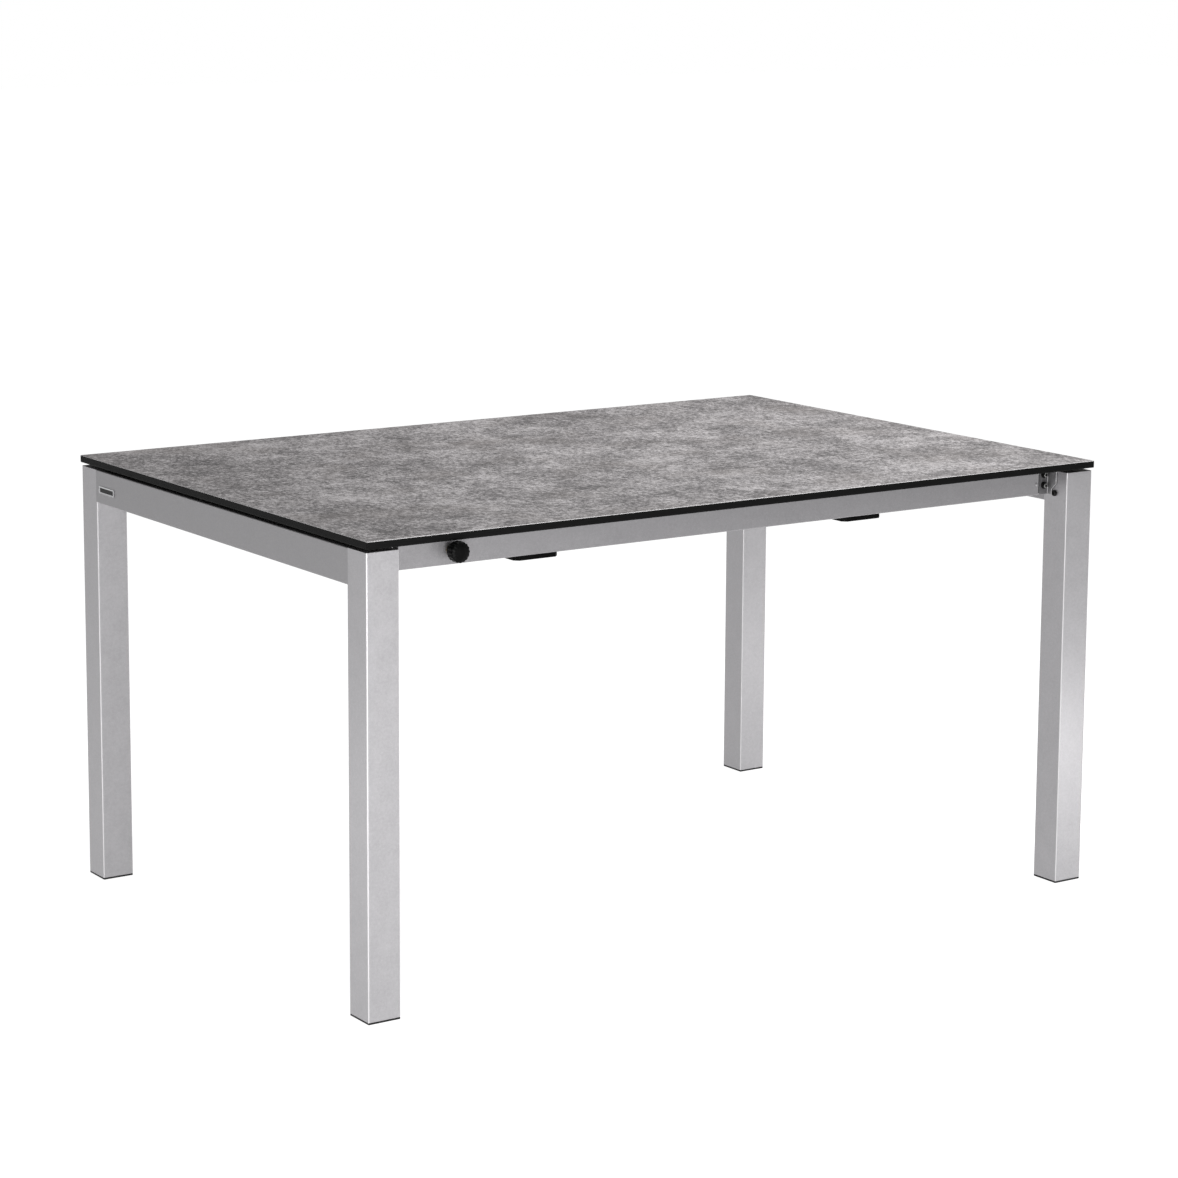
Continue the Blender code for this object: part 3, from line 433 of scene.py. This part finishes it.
def stone_laminate():
    """The printed face: four sizes of noise added up, read as greys, with a warm veil over it."""
    material, shader = new_material("stone laminate", (0.275, 0.265, 0.268), 0.5, shine=0.35)
    place = stretched(material, turn=0.12)
    veils = noise(material, place, 4.0, 4.0, 0.6)
    blotches = noise(material, place, 16.0, 5.0, 0.65)
    grain = noise(material, stretched(material, (1.0, 0.72, 1.0)), 170.0, 4.0, 0.75)
    dust = noise(material, place, 480.0, 2.0, 0.6)
    shade = summed(material, (veils, 0.12), (blotches, 0.19), (grain, 0.45), (dust, 0.24))
    stops = (0.425, (0.085, 0.081, 0.082)), (0.5, (0.23, 0.218, 0.220)), (0.575, (0.48, 0.461, 0.465))
    greys = ramp(material, shade, *stops)
    warmth = ranged(material, noise(material, place, 7.0, 2.0), 0.5, 0.75, 0.0, 0.35)
    brown = tinted(material, warmth, greys, (0.215, 0.195, 0.185))
    wire(material, brown, shader, "Base Color")
    wire(material, ranged(material, grain, 0.3, 0.7, 0.42, 0.56), shader, "Roughness")
    raised(material, shader, summed(material, (grain, 0.7), (dust, 0.3)), 0.00012, 0.6)
    return material


def laminate_core():
    """The pressed paper core: near black, with faint cutter marks along the edge."""
    material, shader = new_material("laminate core", (0.005, 0.0047, 0.005), 0.5, shine=0.05)
    marks = noise(material, stretched(material, (40.0, 40.0, 900.0)), 1.0, 3.0)
    wire(material, ramp(material, marks, (0.3, (0.0035,) * 3), (0.7, (0.007,) * 3)), shader, "Base Color")
    wire(material, ranged(material, marks, 0.3, 0.7, 0.44, 0.56), shader, "Roughness")
    raised(material, shader, marks, 0.00004, 0.4)
    return material


def stone_arris_highlight():
    """The eased edge of the printed sheet: a painted highlight, a light broken line along the milled edge."""
    material, shader = new_material("stone arris highlight", (0.52, 0.51, 0.515), 0.45, shine=0.4)
    highlight_breaks = noise(material, stretched(material), 260.0, 4.0, 0.7)
    # Painted highlight: light greys, broken by noise, along the eased top edge.
    light = ramp(material, highlight_breaks, (0.35, (0.42, 0.41, 0.415)), (0.6, (0.60, 0.585, 0.59)))
    wire(material, light, shader, "Base Color")
    wire(material, ranged(material, highlight_breaks, 0.3, 0.7, 0.34, 0.46), shader, "Roughness")
    raised(material, shader, highlight_breaks, 0.00003, 0.5)
    return material


stone = stone_laminate()
core = laminate_core()
arris_highlight = stone_arris_highlight()
print("made", stone.name, core.name, "and", arris_highlight.name)

# %% [markdown]
# ## Silver powder coat
# The frame's coat is a pale grey resin full of tiny aluminium flakes. From across a room it is an
# even silver. Close up it has a faint cloudiness a few millimetres across, single flakes that
# glint, and the slightly wavy skin that baked powder leaves. It is part metal and part paint, so
# the shader is set between the two. The legs, end rails, side rails, brackets and rivets don't all
# look equally bright, so the same recipe is mixed in five shades. The darker shades of the end rails
# and the brackets are painted shade, for the shade that falls under the slab, and the upright edges
# carry a painted highlight.

# %% Mix the silver powder coat


def powder_coat(name, shade, low, high, edge=0.68):
    """Silver paint: the colour is the shade times low to high by the mottling, with flakes half as
    bright again. On the upright edges a painted highlight: they take the lighter edge grey."""
    material, shader = new_material(name, shade, 0.42, 0.45)
    place = stretched(material)
    speckle = noise(material, place, 230.0, 3.0, 0.6)
    clouds = noise(material, place, 30.0)
    mottle = summed(material, (speckle, 0.6), (clouds, 0.4))
    dim = tuple(channel * low for channel in shade)
    bright = tuple(channel * high for channel in shade)
    coat = ramp(material, mottle, (0.34, dim), (0.66, bright))
    cells = add_node(material, "ShaderNodeTexVoronoi", {"Scale": 1500.0})
    wire(material, place, cells, "Vector")
    flake = ranged(material, cells.outputs["Color"], 0.72, 1.0, 0.0, 0.5)
    flecked = tinted(material, flake, coat, tuple(c * 1.5 for c in shade))
    # Painted highlight: the upright eased edges turn the lighter edge grey, as if they caught a lamp.
    painted_edge_highlight = arris(material, "XY")
    wire(material, tinted(material, painted_edge_highlight, flecked, (edge, edge * 0.985, edge)), shader, "Base Color")
    wire(material, ranged(material, mottle, 0.3, 0.7, 0.36, 0.48), shader, "Roughness")
    raised(material, shader, noise(material, place, 520.0, 2.0), 0.00006, 0.5)
    return material


silver = powder_coat("silver powder coat", (0.38, 0.372, 0.384), 0.92, 1.08)
# Painted shade: darker copies of the same coat for the end rails and brackets under the slab.
shaded_end_silver = powder_coat("silver end rail in painted shade", (0.285, 0.279, 0.288), 0.93, 1.06)
shaded_bracket_silver = powder_coat("silver bracket in painted shade", (0.20, 0.196, 0.202), 0.90, 1.08)
rail_silver = powder_coat("silver rail", (0.26, 0.254, 0.263), 0.93, 1.06)
rivet_silver = powder_coat("silver rivet", (0.29, 0.284, 0.293), 0.93, 1.06, 0.31)
coats = (silver, shaded_end_silver, shaded_bracket_silver, rail_silver, rivet_silver)
print("made", [coat.name for coat in coats])

# %% [markdown]
# ## Plain aluminium and plated steel
# The small plate on the end rail is bare aluminium. Rolling leaves fine lines along the sheet,
# which is a noise squeezed hard across one direction. The rail's screws are bright zinc plate, and
# the bushes in the rails are turned brass.

# %% Mix the bare metals


def drawn_metal(name, shade, roughness, squeeze, spread=0.08):
    """Bare metal: noise stretched along one axis for the drawing lines, in colour, gloss and bump."""
    material, shader = new_material(name, shade, roughness, 1.0)
    lines = noise(material, stretched(material, squeeze), 1.0, 4.0, 0.65)
    patches = noise(material, stretched(material), 160.0, 3.0)
    both = summed(material, (lines, 0.6), (patches, 0.4))
    dim = tuple(channel * (1 - spread) for channel in shade)
    bright = tuple(min(channel * (1 + spread), 1.0) for channel in shade)
    wire(material, ramp(material, both, (0.35, dim), (0.65, bright)), shader, "Base Color")
    wire(material, ranged(material, both, 0.3, 0.7, roughness - 0.07, roughness + 0.07), shader, "Roughness")
    raised(material, shader, lines, 0.00002, 0.5)
    return material


plate_metal = drawn_metal("brushed plate", (0.52, 0.52, 0.53), 0.40, (2500.0, 60.0, 2500.0))
zinc = drawn_metal("zinc plate", (0.40, 0.40, 0.39), 0.36, (700.0, 700.0, 700.0), 0.12)
brass = drawn_metal("turned brass", (0.60, 0.45, 0.20), 0.3, (900.0, 900.0, 900.0))
print("made", plate_metal.name, zinc.name, "and", brass.name)

# %% [markdown]
# ## Black parts
# Four blacks sit side by side: moulded plastic with a fine spark-eroded grain, the softer shine of
# the clamp knob, powder-coated steel on the leaf carriers, and blackened fasteners. They differ in
# gloss and grain much more than in colour.

# %% Mix the blacks


def black_finish(name, shade, roughness, grain, depth, metallic=0.0, shine=0.2):
    """A black: one grain for the bump, and a slower cloud that shifts colour and gloss a little."""
    material, shader = new_material(name, (shade,) * 3, roughness, metallic, shine)
    place = stretched(material)
    cloud = noise(material, place, 120.0, 3.0)
    shades = ramp(material, cloud, (0.3, (shade * 0.75,) * 3), (0.7, (shade * 1.3,) * 3))
    wire(material, shades, shader, "Base Color")
    wire(material, ranged(material, cloud, 0.3, 0.7, roughness - 0.06, roughness + 0.06), shader, "Roughness")
    raised(material, shader, noise(material, place, grain, 2.0), depth, 0.5)
    return material


black_plastic = black_finish("black plastic", 0.012, 0.5, 1800.0, 0.00004)
knob_plastic = black_finish("knob plastic", 0.0025, 0.4, 2600.0, 0.00003, 0.0, 0.05)
black_steel = black_finish("black powder coat", 0.0025, 0.45, 800.0, 0.00006, 0.0, 0.03)
black_oxide = black_finish("black oxide", 0.012, 0.34, 1500.0, 0.00002, 0.3)
print("made four blacks")

# %% [markdown]
# ## The slab and the stored leaf
# Both are boards with square, slightly broken edges and nearly sharp corners. The outline is the
# board seen from above, carried up through its thickness. The faces that look up take the stone,
# the narrow slope round them takes a painted highlight, and the edges and the underside show the core.

# %% Make the boards
BOARD_CORNER = 0.0018


def size_of(node):
    """A working part's lowest corner and its size, as arrays."""
    low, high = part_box(node)
    return np.array(low), np.array(high) - np.array(low)


def board(name, node, body, ease):
    """A board the size of the working one: its eased outline carried up through its thickness. The
    faces that look up are stone, and the sloping ones round them take a painted highlight."""
    low, size = size_of(node)
    outline = rectangle(size[0], size[1], BOARD_CORNER)
    rings = carry(outline, bar_sections(size[2], ease))
    middle = low + size * (0.5, 0.5, 0.0)
    piece = make_piece(name, [skin(lay(rings, middle, X, Y, Z))], core, body, [node])
    piece.data.materials.append(stone)
    piece.data.materials.append(arris_highlight)
    normals = np.empty(len(piece.data.polygons) * 3, np.float32)
    piece.data.polygons.foreach_get("normal", normals)
    upward = normals[2::3]
    # Up-facing faces take the stone, sloping ones the painted arris highlight, the rest the core.
    finish = np.where(upward > 0.98, 1, np.where(upward > 0.3, 2, 0)).astype(np.int32)
    piece.data.polygons.foreach_set("material_index", finish)
    return piece


slab = board("slab", "tabletop", FIXED, 0.0015)
leaf = board("stored_leaf_board", "extension_leaf", "stored_leaf", 0.0007)
print("boards:", len(slab.data.polygons), "and", len(leaf.data.polygons), "faces")

# %% [markdown]
# ## Legs and end rails
# Each end of the table is a welded frame: two square tubes with an oblong tube between them, ground
# flush and then coated, so no seam shows on the outside. The rail reaches into the leg just as far
# as the leg's eased edge, which fills the groove that would show between two separate tubes.

# %% Make the legs and end rails
LEG_EDGE = 0.0022


def tube(name, node, body, axis, edge, ease, more=0.0, finish=silver):
    """A closed straight bar the size of a working part, carried along X, Y or Z, with eased edges.
    It may reach a little further at both ends than the working part does."""
    low, size = size_of(node)
    along = np.eye(3)[axis]
    across = np.eye(3)[(axis + 1) % 3]
    upward = np.eye(3)[(axis + 2) % 3]
    outline = rectangle(size @ across, size @ upward, edge)
    rings = carry(outline, bar_sections(size[axis] + 2 * more, ease))
    start = low + (size / 2) * (across + upward) - more * along
    shells = [skin(lay(rings, start, across, upward, along))]
    return make_piece(name, shells, finish, body, [node])


for end, body in ENDS.items():
    for side in SIDES:
        tube(f"leg_tube_{end}_{side}", f"leg_{end}_{side}", body, 2, LEG_EDGE, 0.0006)
    into_leg = LEG_EDGE + 0.0003
    # The end rail takes the darker copy of the coat: painted shade under the slab.
    tube(f"end_tube_{end}", f"end_rail_{end}", body, 1, 0.0018, 0.00002, into_leg, shaded_end_silver)
print("four legs and two end rails")

# %% [markdown]
# ## Side rails
# A side rail is a hollow profile with a long slot in its inner face, in which the pull-out frame
# runs. Its outline goes round the outside from one lip of the slot to the other and comes back
# along the inside, a wall's thickness away. The clamp stud passes through a round hole, cut with a
# Boolean, because a hole through a wall is what that tool does best.

# %% Make the side rails
RAIL_WALL = 0.0025
RAIL_EDGE = 0.0013
INNER_EDGE = 0.0006
SLOT = (0.6870, 0.7000)
BUSH_HOLE = 0.0061
DRILL_REACH = 0.02


def inner_and_outer(low, size):
    """How far a part's inner and outer faces are from the middle of the table, across it."""
    return sorted((abs(low[1]), abs(low[1] + size[1])))


def channel_outline(depth, height, lips):
    """Out along the outside of a channel open on its right, and back along the inside. Both lines
    ease the same four corners, so they have the same number of points."""
    low, high = lips
    outer = [(depth, low), (depth, 0), (0, 0), (0, height), (depth, height), (depth, high)]
    wall = RAIL_WALL
    reach = depth - wall
    top = height - wall
    inner = [(reach, low), (reach, wall), (wall, wall), (wall, top), (reach, top), (reach, high)]
    four_corners = np.array([0, 1, 1, 1, 1, 0])
    out = eased(outer, RAIL_EDGE * four_corners, closed=False)
    back = eased(inner, INNER_EDGE * four_corners, closed=False)
    return np.concatenate([out, back[::-1]])[::-1]


def bored(piece, middle, radius):
    """The piece with a round hole through it along Y, cut by a Boolean and then made plain mesh."""
    circle = spin(np.array([[-DRILL_REACH, radius], [DRILL_REACH, radius]]), 48)
    points, faces = skin(lay(circle, middle, X, Z, Y))
    drill_mesh = bpy.data.meshes.new("drill")
    drill_mesh.from_pydata(points.tolist(), [], faces)
    work = bmesh.new()
    work.from_mesh(drill_mesh)
    bmesh.ops.recalc_face_normals(work, faces=work.faces)
    work.to_mesh(drill_mesh)
    work.free()
    drill = bpy.data.objects.new("drill", drill_mesh)
    bpy.context.scene.collection.objects.link(drill)
    hole = piece.modifiers.new("hole", "BOOLEAN")
    hole.operation = "DIFFERENCE"
    hole.object = drill
    graph = bpy.context.evaluated_depsgraph_get()
    made = bpy.data.meshes.new_from_object(piece.evaluated_get(graph), depsgraph=graph)
    piece.modifiers.clear()
    piece.data = made
    bpy.data.objects.remove(drill)


for side, sign in SIDES.items():
    node = f"side_rail_{side}"
    low, size = size_of(node)
    _, outer = inner_and_outer(low, size)
    outline = channel_outline(size[1], size[2], np.array(SLOT) - low[2])
    corner = low[0] * X + sign * outer * Y + low[2] * Z
    lengthwise = np.array([[0, 0], [0.0004, 0], [size[0] - 0.0004, 0], [size[0], 0]], float)
    rings = lay(carry(outline, lengthwise), corner, -sign * Y, Z, X)
    shells = [skin(rings, "strip")]
    rail = make_piece(f"side_channel_{side}", shells, rail_silver, FIXED, [node])
    low, size = size_of(f"clamp_bush_{side}")
    bored(rail, low + size * (0.5, 0.0, 0.5), BUSH_HOLE)
    print(rail.name, len(rail.data.polygons), "faces")

# %% [markdown]
# ## Feet
# Each leg stands on a black plug with a thin flange. The flange is as wide as the tube, has a soft
# lower edge, and is hollowed underneath so that it stands on its rim.

# %% Make the feet
FLANGE = 0.003
PLUG_INSET = 0.0034
PLUG_LENGTH = 0.0175


def foot(end, side, body):
    """Two outlines carried upwards: the flange, dished underneath, and the smaller plug inside. Each
    pair of the flange's section is how high it is and how far the outline is drawn in there."""
    node = f"foot_{end}_{side}"
    low, size = size_of(node)
    middle = low + size * (0.5, 0.5, 0.0)
    outline = rectangle(size[0], size[1], 0.0022)
    under = [(0.0007, 0.0092), (0.0007, 0.0085), (0.0, 0.0078), (0.0, 0.0012), (0.0004, 0.0004)]
    over = [(0.0010, 0.0001), (FLANGE - 0.0004, 0.0001), (FLANGE, 0.0004), (FLANGE, 0.0030)]
    flange = carry(outline, np.array(under + over))
    inset = 2 * PLUG_INSET
    plug_outline = rectangle(size[0] - inset, size[1] - inset, 0.0015)
    plug = carry(plug_outline, bar_sections(PLUG_LENGTH, 0.001))
    shells = [skin(lay(flange, middle, X, Y, Z))]
    shells += [skin(lay(plug, middle + 0.002 * Z, X, Y, Z))]
    return make_piece(f"foot_plug_{end}_{side}", shells, black_plastic, body, [node])


for end, body in ENDS.items():
    for side in SIDES:
        foot(end, side, body)
print("four feet")

# %% [markdown]
# ## Clamp knobs
# A grip knob: a domed head with sixteen shallow flutes on a thick round hub. A flute is a dip in the
# radius that follows a cosine of sixteen times the angle. The dips fade out towards the middle of
# the dome and down on the hub, so both stay round.

# %% Make the clamp knobs
FLUTES = 16
FLUTE_DEPTH = 0.0672
HEAD_LENGTH = 0.016


def knob(side, sign):
    """A profile of (along, radius) spun from the hub's back to the top of the dome. The radius is
    multiplied by 1 - depth (1 - cos(16 angle)) / 2, where the depth is 0 below the head."""
    node = f"clamp_knob_{side}"
    low, size = size_of(node)
    long = size[1]
    head = long - HEAD_LENGTH
    line = [
        (0.0, 0.0), (0.0, 0.0105), (head - 0.0004, 0.0105), (head, 0.0150), (head + 0.0012, 0.0160),
        (long - 0.0030, 0.0160), (long - 0.0010, 0.0128), (long, 0.0062), (long, 0.0),
    ]
    reach = [0, 0.0008, 0.0010, 0.0006, 0.0006, 0.0012, 0.0030, 0.0040, 0]
    profile = eased(line, reach, closed=False, steps=5, flat=0.0001)
    on_head = np.clip((profile[:, 0] - head) / 0.0012, 0, 1)
    off_middle = np.clip(profile[:, 1] / 0.014 - 0.35, 0, 1)
    depth = FLUTE_DEPTH * on_head * off_middle

    def fluted(angle):
        return 1 - depth[:, None] * (1 - np.cos(FLUTES * angle)) / 2

    inner, _ = inner_and_outer(low, size)
    middle = low[0] + size[0] / 2, sign * inner, low[2] + size[2] / 2
    rings = lay(spin(profile, 160, fluted), middle, X, Z, sign * Y)
    body = f"clamp_knob_{side}_body"
    return make_piece(f"star_knob_{side}", [skin(rings)], knob_plastic, body, [node], 55)


for side, sign in SIDES.items():
    made = knob(side, sign)
print("two fluted knobs of", len(made.data.polygons), "faces")

# %% [markdown]
# ## Screws with hexagon sockets
# Two bright button screws on black washers hold each bracket, and a slightly larger black one sits
# in the leg beside its tip. A head is spun from a profile, and the rings of its socket are hexagons:
# a hexagon's reach at an angle is its half-width over the cosine of the angle from the middle of
# the nearest flat.

# %% Make the screws
SOCKET_REACH = 0.0022
HEAD_WALL = 0.0040
HEAD_HEIGHT = 0.004
SHANK_RADIUS = 0.003
SHANK_LENGTH = 0.012


def hexagon(angle):
    """How far a hexagon of half-width one reaches at each angle."""
    turn = np.mod(angle, np.pi / 3) - np.pi / 6
    return 1 / np.cos(turn)


def socket_head(radius, height, socket, depth):
    """A button head: the profile climbs from the seat, rounds over, and drops into the socket. The
    last rings, from the socket's rim inwards, are hexagons."""
    outside = eased([(0, 0), (0, radius), (height * 0.7, radius), (height, radius * 0.86), (height, socket)],
                    [0, 0.0002, 0.0005, 0.0004, 0], closed=False, steps=4, flat=0.0001)
    inside = np.array([(height, socket * 1.05), (height - 0.0003, socket), (height - depth, socket * 0.98),
                       (height - depth - 0.0004, 0)])
    profile = np.concatenate([outside[:-1], inside])
    six = np.concatenate([np.zeros(len(outside) - 1), np.ones(len(inside))])[:, None]

    def shape(angle):
        return 1 + six * (hexagon(angle)[None] - 1)

    return spin(profile, 48, shape)


def paint_screw_shade(piece, middle):
    """The faces nearer to the screw's axis than its socket's reach, and those farther out than the
    head's wall, turn black: painted shade inside the socket's recess, and a black rim round the head. The
    flat ring between stays bright."""
    piece.data.materials.append(black_oxide)
    centres = np.empty(len(piece.data.polygons) * 3, np.float32)
    piece.data.polygons.foreach_get("center", centres)
    away = centres.reshape(-1, 3) - np.asarray(middle, np.float32)
    away[:, 1] = 0.0
    distance = np.linalg.norm(away, axis=1)
    # Painted shade: the socket's recess turns black, and so does the head's rim.
    painted_shade = ((distance < SOCKET_REACH) | (distance > HEAD_WALL)).astype(np.int32)
    piece.data.polygons.foreach_set("material_index", painted_shade)


for side, sign in SIDES.items():
    for level in ("lower", "upper"):
        node = f"bracket_screw_{level}_{side}"
        low, size = size_of(node)
        _, outer = inner_and_outer(low, size)
        seat = sign * outer - sign * HEAD_HEIGHT
        middle = low[0] + size[0] / 2, seat, low[2] + size[2] / 2
        head = lay(socket_head(0.0046, HEAD_HEIGHT, 0.0020, 0.002), middle, X, Z, sign * Y)
        shank_profile = bar_sections(SHANK_LENGTH, 0.0004) * (1, -1) + (0, SHANK_RADIUS)
        shank = lay(spin(shank_profile, 24), middle, X, Z, -sign * Y)
        name = f"socket_screw_{level}_{side}"
        shells = [skin(head), skin(shank)]
        screw = make_piece(name, shells, zinc, SLIDING, [node], 35)
        paint_screw_shade(screw, middle)
    node = f"leg_bolt_{side}"
    low, size = size_of(node)
    middle = low[0] + size[0], low[1] + size[1] / 2, low[2] + size[2] / 2
    head = lay(socket_head(0.005, size[0], 0.0026, 0.002), middle, Y, Z, -X)
    make_piece(f"leg_screw_{side}", [skin(head)], black_oxide, SLIDING, [node], 35)
print("six socket screws")

# %% [markdown]
# A washer is a flat ring. Its little section is carried right round the hole, so this one is spun
# as a closed line and has no ends.

# %% Make the washers


def ring_skin(section, count, middle, sign):
    """A closed (along, radius) section swept round an axis on Y, with its first and last ring the
    same, so that it closes on itself."""
    loop = np.concatenate([section, section[:1]])
    return skin(lay(spin(loop, count), middle, X, Z, sign * Y), "open")


for side, sign in SIDES.items():
    for level in ("lower", "upper"):
        node = f"washer_{level}_{side}"
        low, size = size_of(node)
        inner, _ = inner_and_outer(low, size)
        middle = low[0] + size[0] / 2, sign * inner, low[2] + size[2] / 2
        square = [(0, 0.0033), (size[1], 0.0033), (size[1], 0.006), (0, 0.006)]
        section = eased(square, 0.0003, steps=3, flat=0.0001)
        shells = [ring_skin(section, 48, middle, sign)]
        make_piece(f"black_washer_{level}_{side}", shells, black_oxide, SLIDING, [node])
print("four washers")

# %% [markdown]
# ## Corner brackets
# A bracket is a bent aluminium plate: one wing lies along the rail and the other across the leg. The
# working part already has the shape, but its edges are perfectly sharp. A copy of its mesh is
# merged, its flat triangles are joined again into whole faces, and every edge is rounded, so that
# the coat's painted highlight can show along the bend and the sloping cut.

# %% Round the brackets


def rounded_copy(name, node, finish, body, width):
    """A merged copy of a working part with a rounded strip of the given width along each edge that
    bends by more than twenty degrees."""
    work = bmesh.new()
    work.from_mesh(nodes[node].data)
    bmesh.ops.remove_doubles(work, verts=work.verts, dist=1e-6)
    bend = math.radians(20)
    bmesh.ops.dissolve_limit(work, angle_limit=math.radians(1), verts=work.verts, edges=work.edges)
    edges = [e for e in work.edges if len(e.link_faces) == 2 and e.calc_face_angle() > bend]
    bmesh.ops.bevel(work, geom=edges, offset=width, segments=3, profile=0.6, affect="EDGES")
    points = np.array([v.co[:] for v in work.verts])
    faces = [[v.index for v in face.verts] for face in work.faces]
    work.free()
    return make_piece(name, [(points, faces)], finish, body, [node], 50)


for side in SIDES:
    name = f"bent_bracket_{side}"
    node = f"corner_bracket_{side}"
    # The bracket takes the darkest copy of the coat: painted shade under the slab.
    made = rounded_copy(name, node, shaded_bracket_silver, SLIDING, 0.0009)
print("two brackets of", len(made.data.polygons), "faces")

# %% [markdown]
# ## The small plate
# A thin plate sits on the left end rail near the far leg. Here it is blank: a raised rim round a
# plain dark enamel bar, with nothing written on it.

# %% Make the plate
plate_low, plate_size = size_of("blank_plate")
plate_middle = plate_low + plate_size * (1.0, 0.5, 0.5)
thick = plate_size[0]
plate_outline = rectangle(plate_size[1], plate_size[2], 0.002)
rim = [(0.0, 0.0003), (thick, 0.0), (thick, 0.0006), (thick * 0.6, 0.0010), (thick * 0.6, 0.0016)]
plate_rings = carry(plate_outline, np.array(rim))
shells = [skin(lay(plate_rings, plate_middle, -Y, Z, -X))]
make_piece("plain_plate", shells, plate_metal, FIXED, ["blank_plate"], 30)
bar_outline = rectangle(plate_size[1] - 0.0085, plate_size[2] - 0.0052, 0.001)
bar_rings = carry(bar_outline, bar_sections(thick * 0.5, 0.0001, 2, 0.00003))
bar_start = plate_middle - thick * 0.4 * X
shells = [skin(lay(bar_rings, bar_start, -Y, Z, -X))]
make_piece("plate_enamel_bar", shells, black_plastic, FIXED)
print("plate", [round(v * 1000, 1) for v in plate_size], "mm")

# %% [markdown]
# ## Leaf carriers
# Two flat bars cross under the rails and carry the stored leaf. They are sheet parts with cut
# corners and a low fence at each side of the leaf. Bar and fences overlap, as welded parts do.

# %% Make the carriers
CUT_CORNER = 0.007
BAR_THICKNESS = 0.0067
FENCE_PLACE = 0.313
FENCE_HEIGHT = 0.0127
for which in ("left", "right"):
    node = f"leaf_carrier_{which}"
    low, size = size_of(node)
    wide, deep, cut = size[0] / 2, size[1] / 2, CUT_CORNER
    plan = [(-wide, -deep + cut), (-wide + cut, -deep), (wide - cut, -deep), (wide, -deep + cut),
            (wide, deep - cut), (wide - cut, deep), (-wide + cut, deep), (-wide, deep - cut)]
    outline = eased(plan, 0.0012, steps=3)
    middle = low + size * (0.5, 0.5, 0.0)
    bar = carry(outline, bar_sections(BAR_THICKNESS, 0.0006))
    shells = [skin(lay(bar, middle, X, Y, Z))]
    for sign in SIDES.values():
        fence = carry(rectangle(2 * (wide - cut), 0.004, 0.001), bar_sections(FENCE_HEIGHT, 0.0006))
        shells.append(skin(lay(fence, middle + sign * FENCE_PLACE * Y + 0.003 * Z, X, Y, Z)))
    make_piece(f"carrier_bar_{which}", shells, black_steel, FIXED, [node])
print("two carriers")

# %% [markdown]
# ## Inner rails
# The pull-out frame's own rails are plain oblong tubes beside the side rails, coated like the rest.

# %% Make the inner rails
for side in SIDES:
    tube(f"inner_tube_{side}", f"inner_rail_{side}", SLIDING, 0, 0.0012, 0.0004)
print("two inner rails")

# %% [markdown]
# ## Rivets
# A blind rivet near the free end of each side rail holds the guide inside it. Only its shallow
# head shows: a low dome, spun from a short profile.

# %% Make the rivets
RIVET_FROM_END = 0.0045
RIVET_SUNK = 0.0002
for side, sign in SIDES.items():
    low, size = size_of(f"side_rail_{side}")
    _, outer = inner_and_outer(low, size)
    seat = sign * outer - sign * RIVET_SUNK
    middle = low[0] + size[0] - RIVET_FROM_END, seat, low[2] + size[2] * 0.49
    dome = eased([(0, 0), (0, 0.0029), (0.0005, 0.0029), (0.0010, 0.0014), (0.0010, 0)],
                 [0, 0.0001, 0.0003, 0.0008, 0], closed=False, steps=4, flat=0.00005)
    shells = [skin(lay(spin(dome, 32), middle, X, Z, sign * Y))]
    make_piece(f"rail_rivet_{side}", shells, rivet_silver, FIXED)
print("two rivets")

# %% [markdown]
# ## Finishes for the parts that keep their shape
# The rest of the working model is right as it is: guides, glides, pads, plugs, pins, bushes, studs
# and the screws underneath. Each gets its finish by the start of its name.

# %% Give the other parts their finish
FINISHES = {
    "rail_guide": black_plastic,
    "rail_plug": black_plastic,
    "glide": black_plastic,
    "rest_pad": black_plastic,
    "clamp_pad": black_plastic,
    "clamp_bush": brass,
    "clamp_stud": zinc,
    "leaf_pin": zinc,
    "carrier_screw": black_oxide,
    "top_screw": zinc,
}
kept = 0
for name, part in nodes.items():
    for start, finish in FINISHES.items():
        if name.startswith(start):
            part.data.materials.clear()
            part.data.materials.append(finish)
            kept += 1
print(kept, "parts kept their shape")
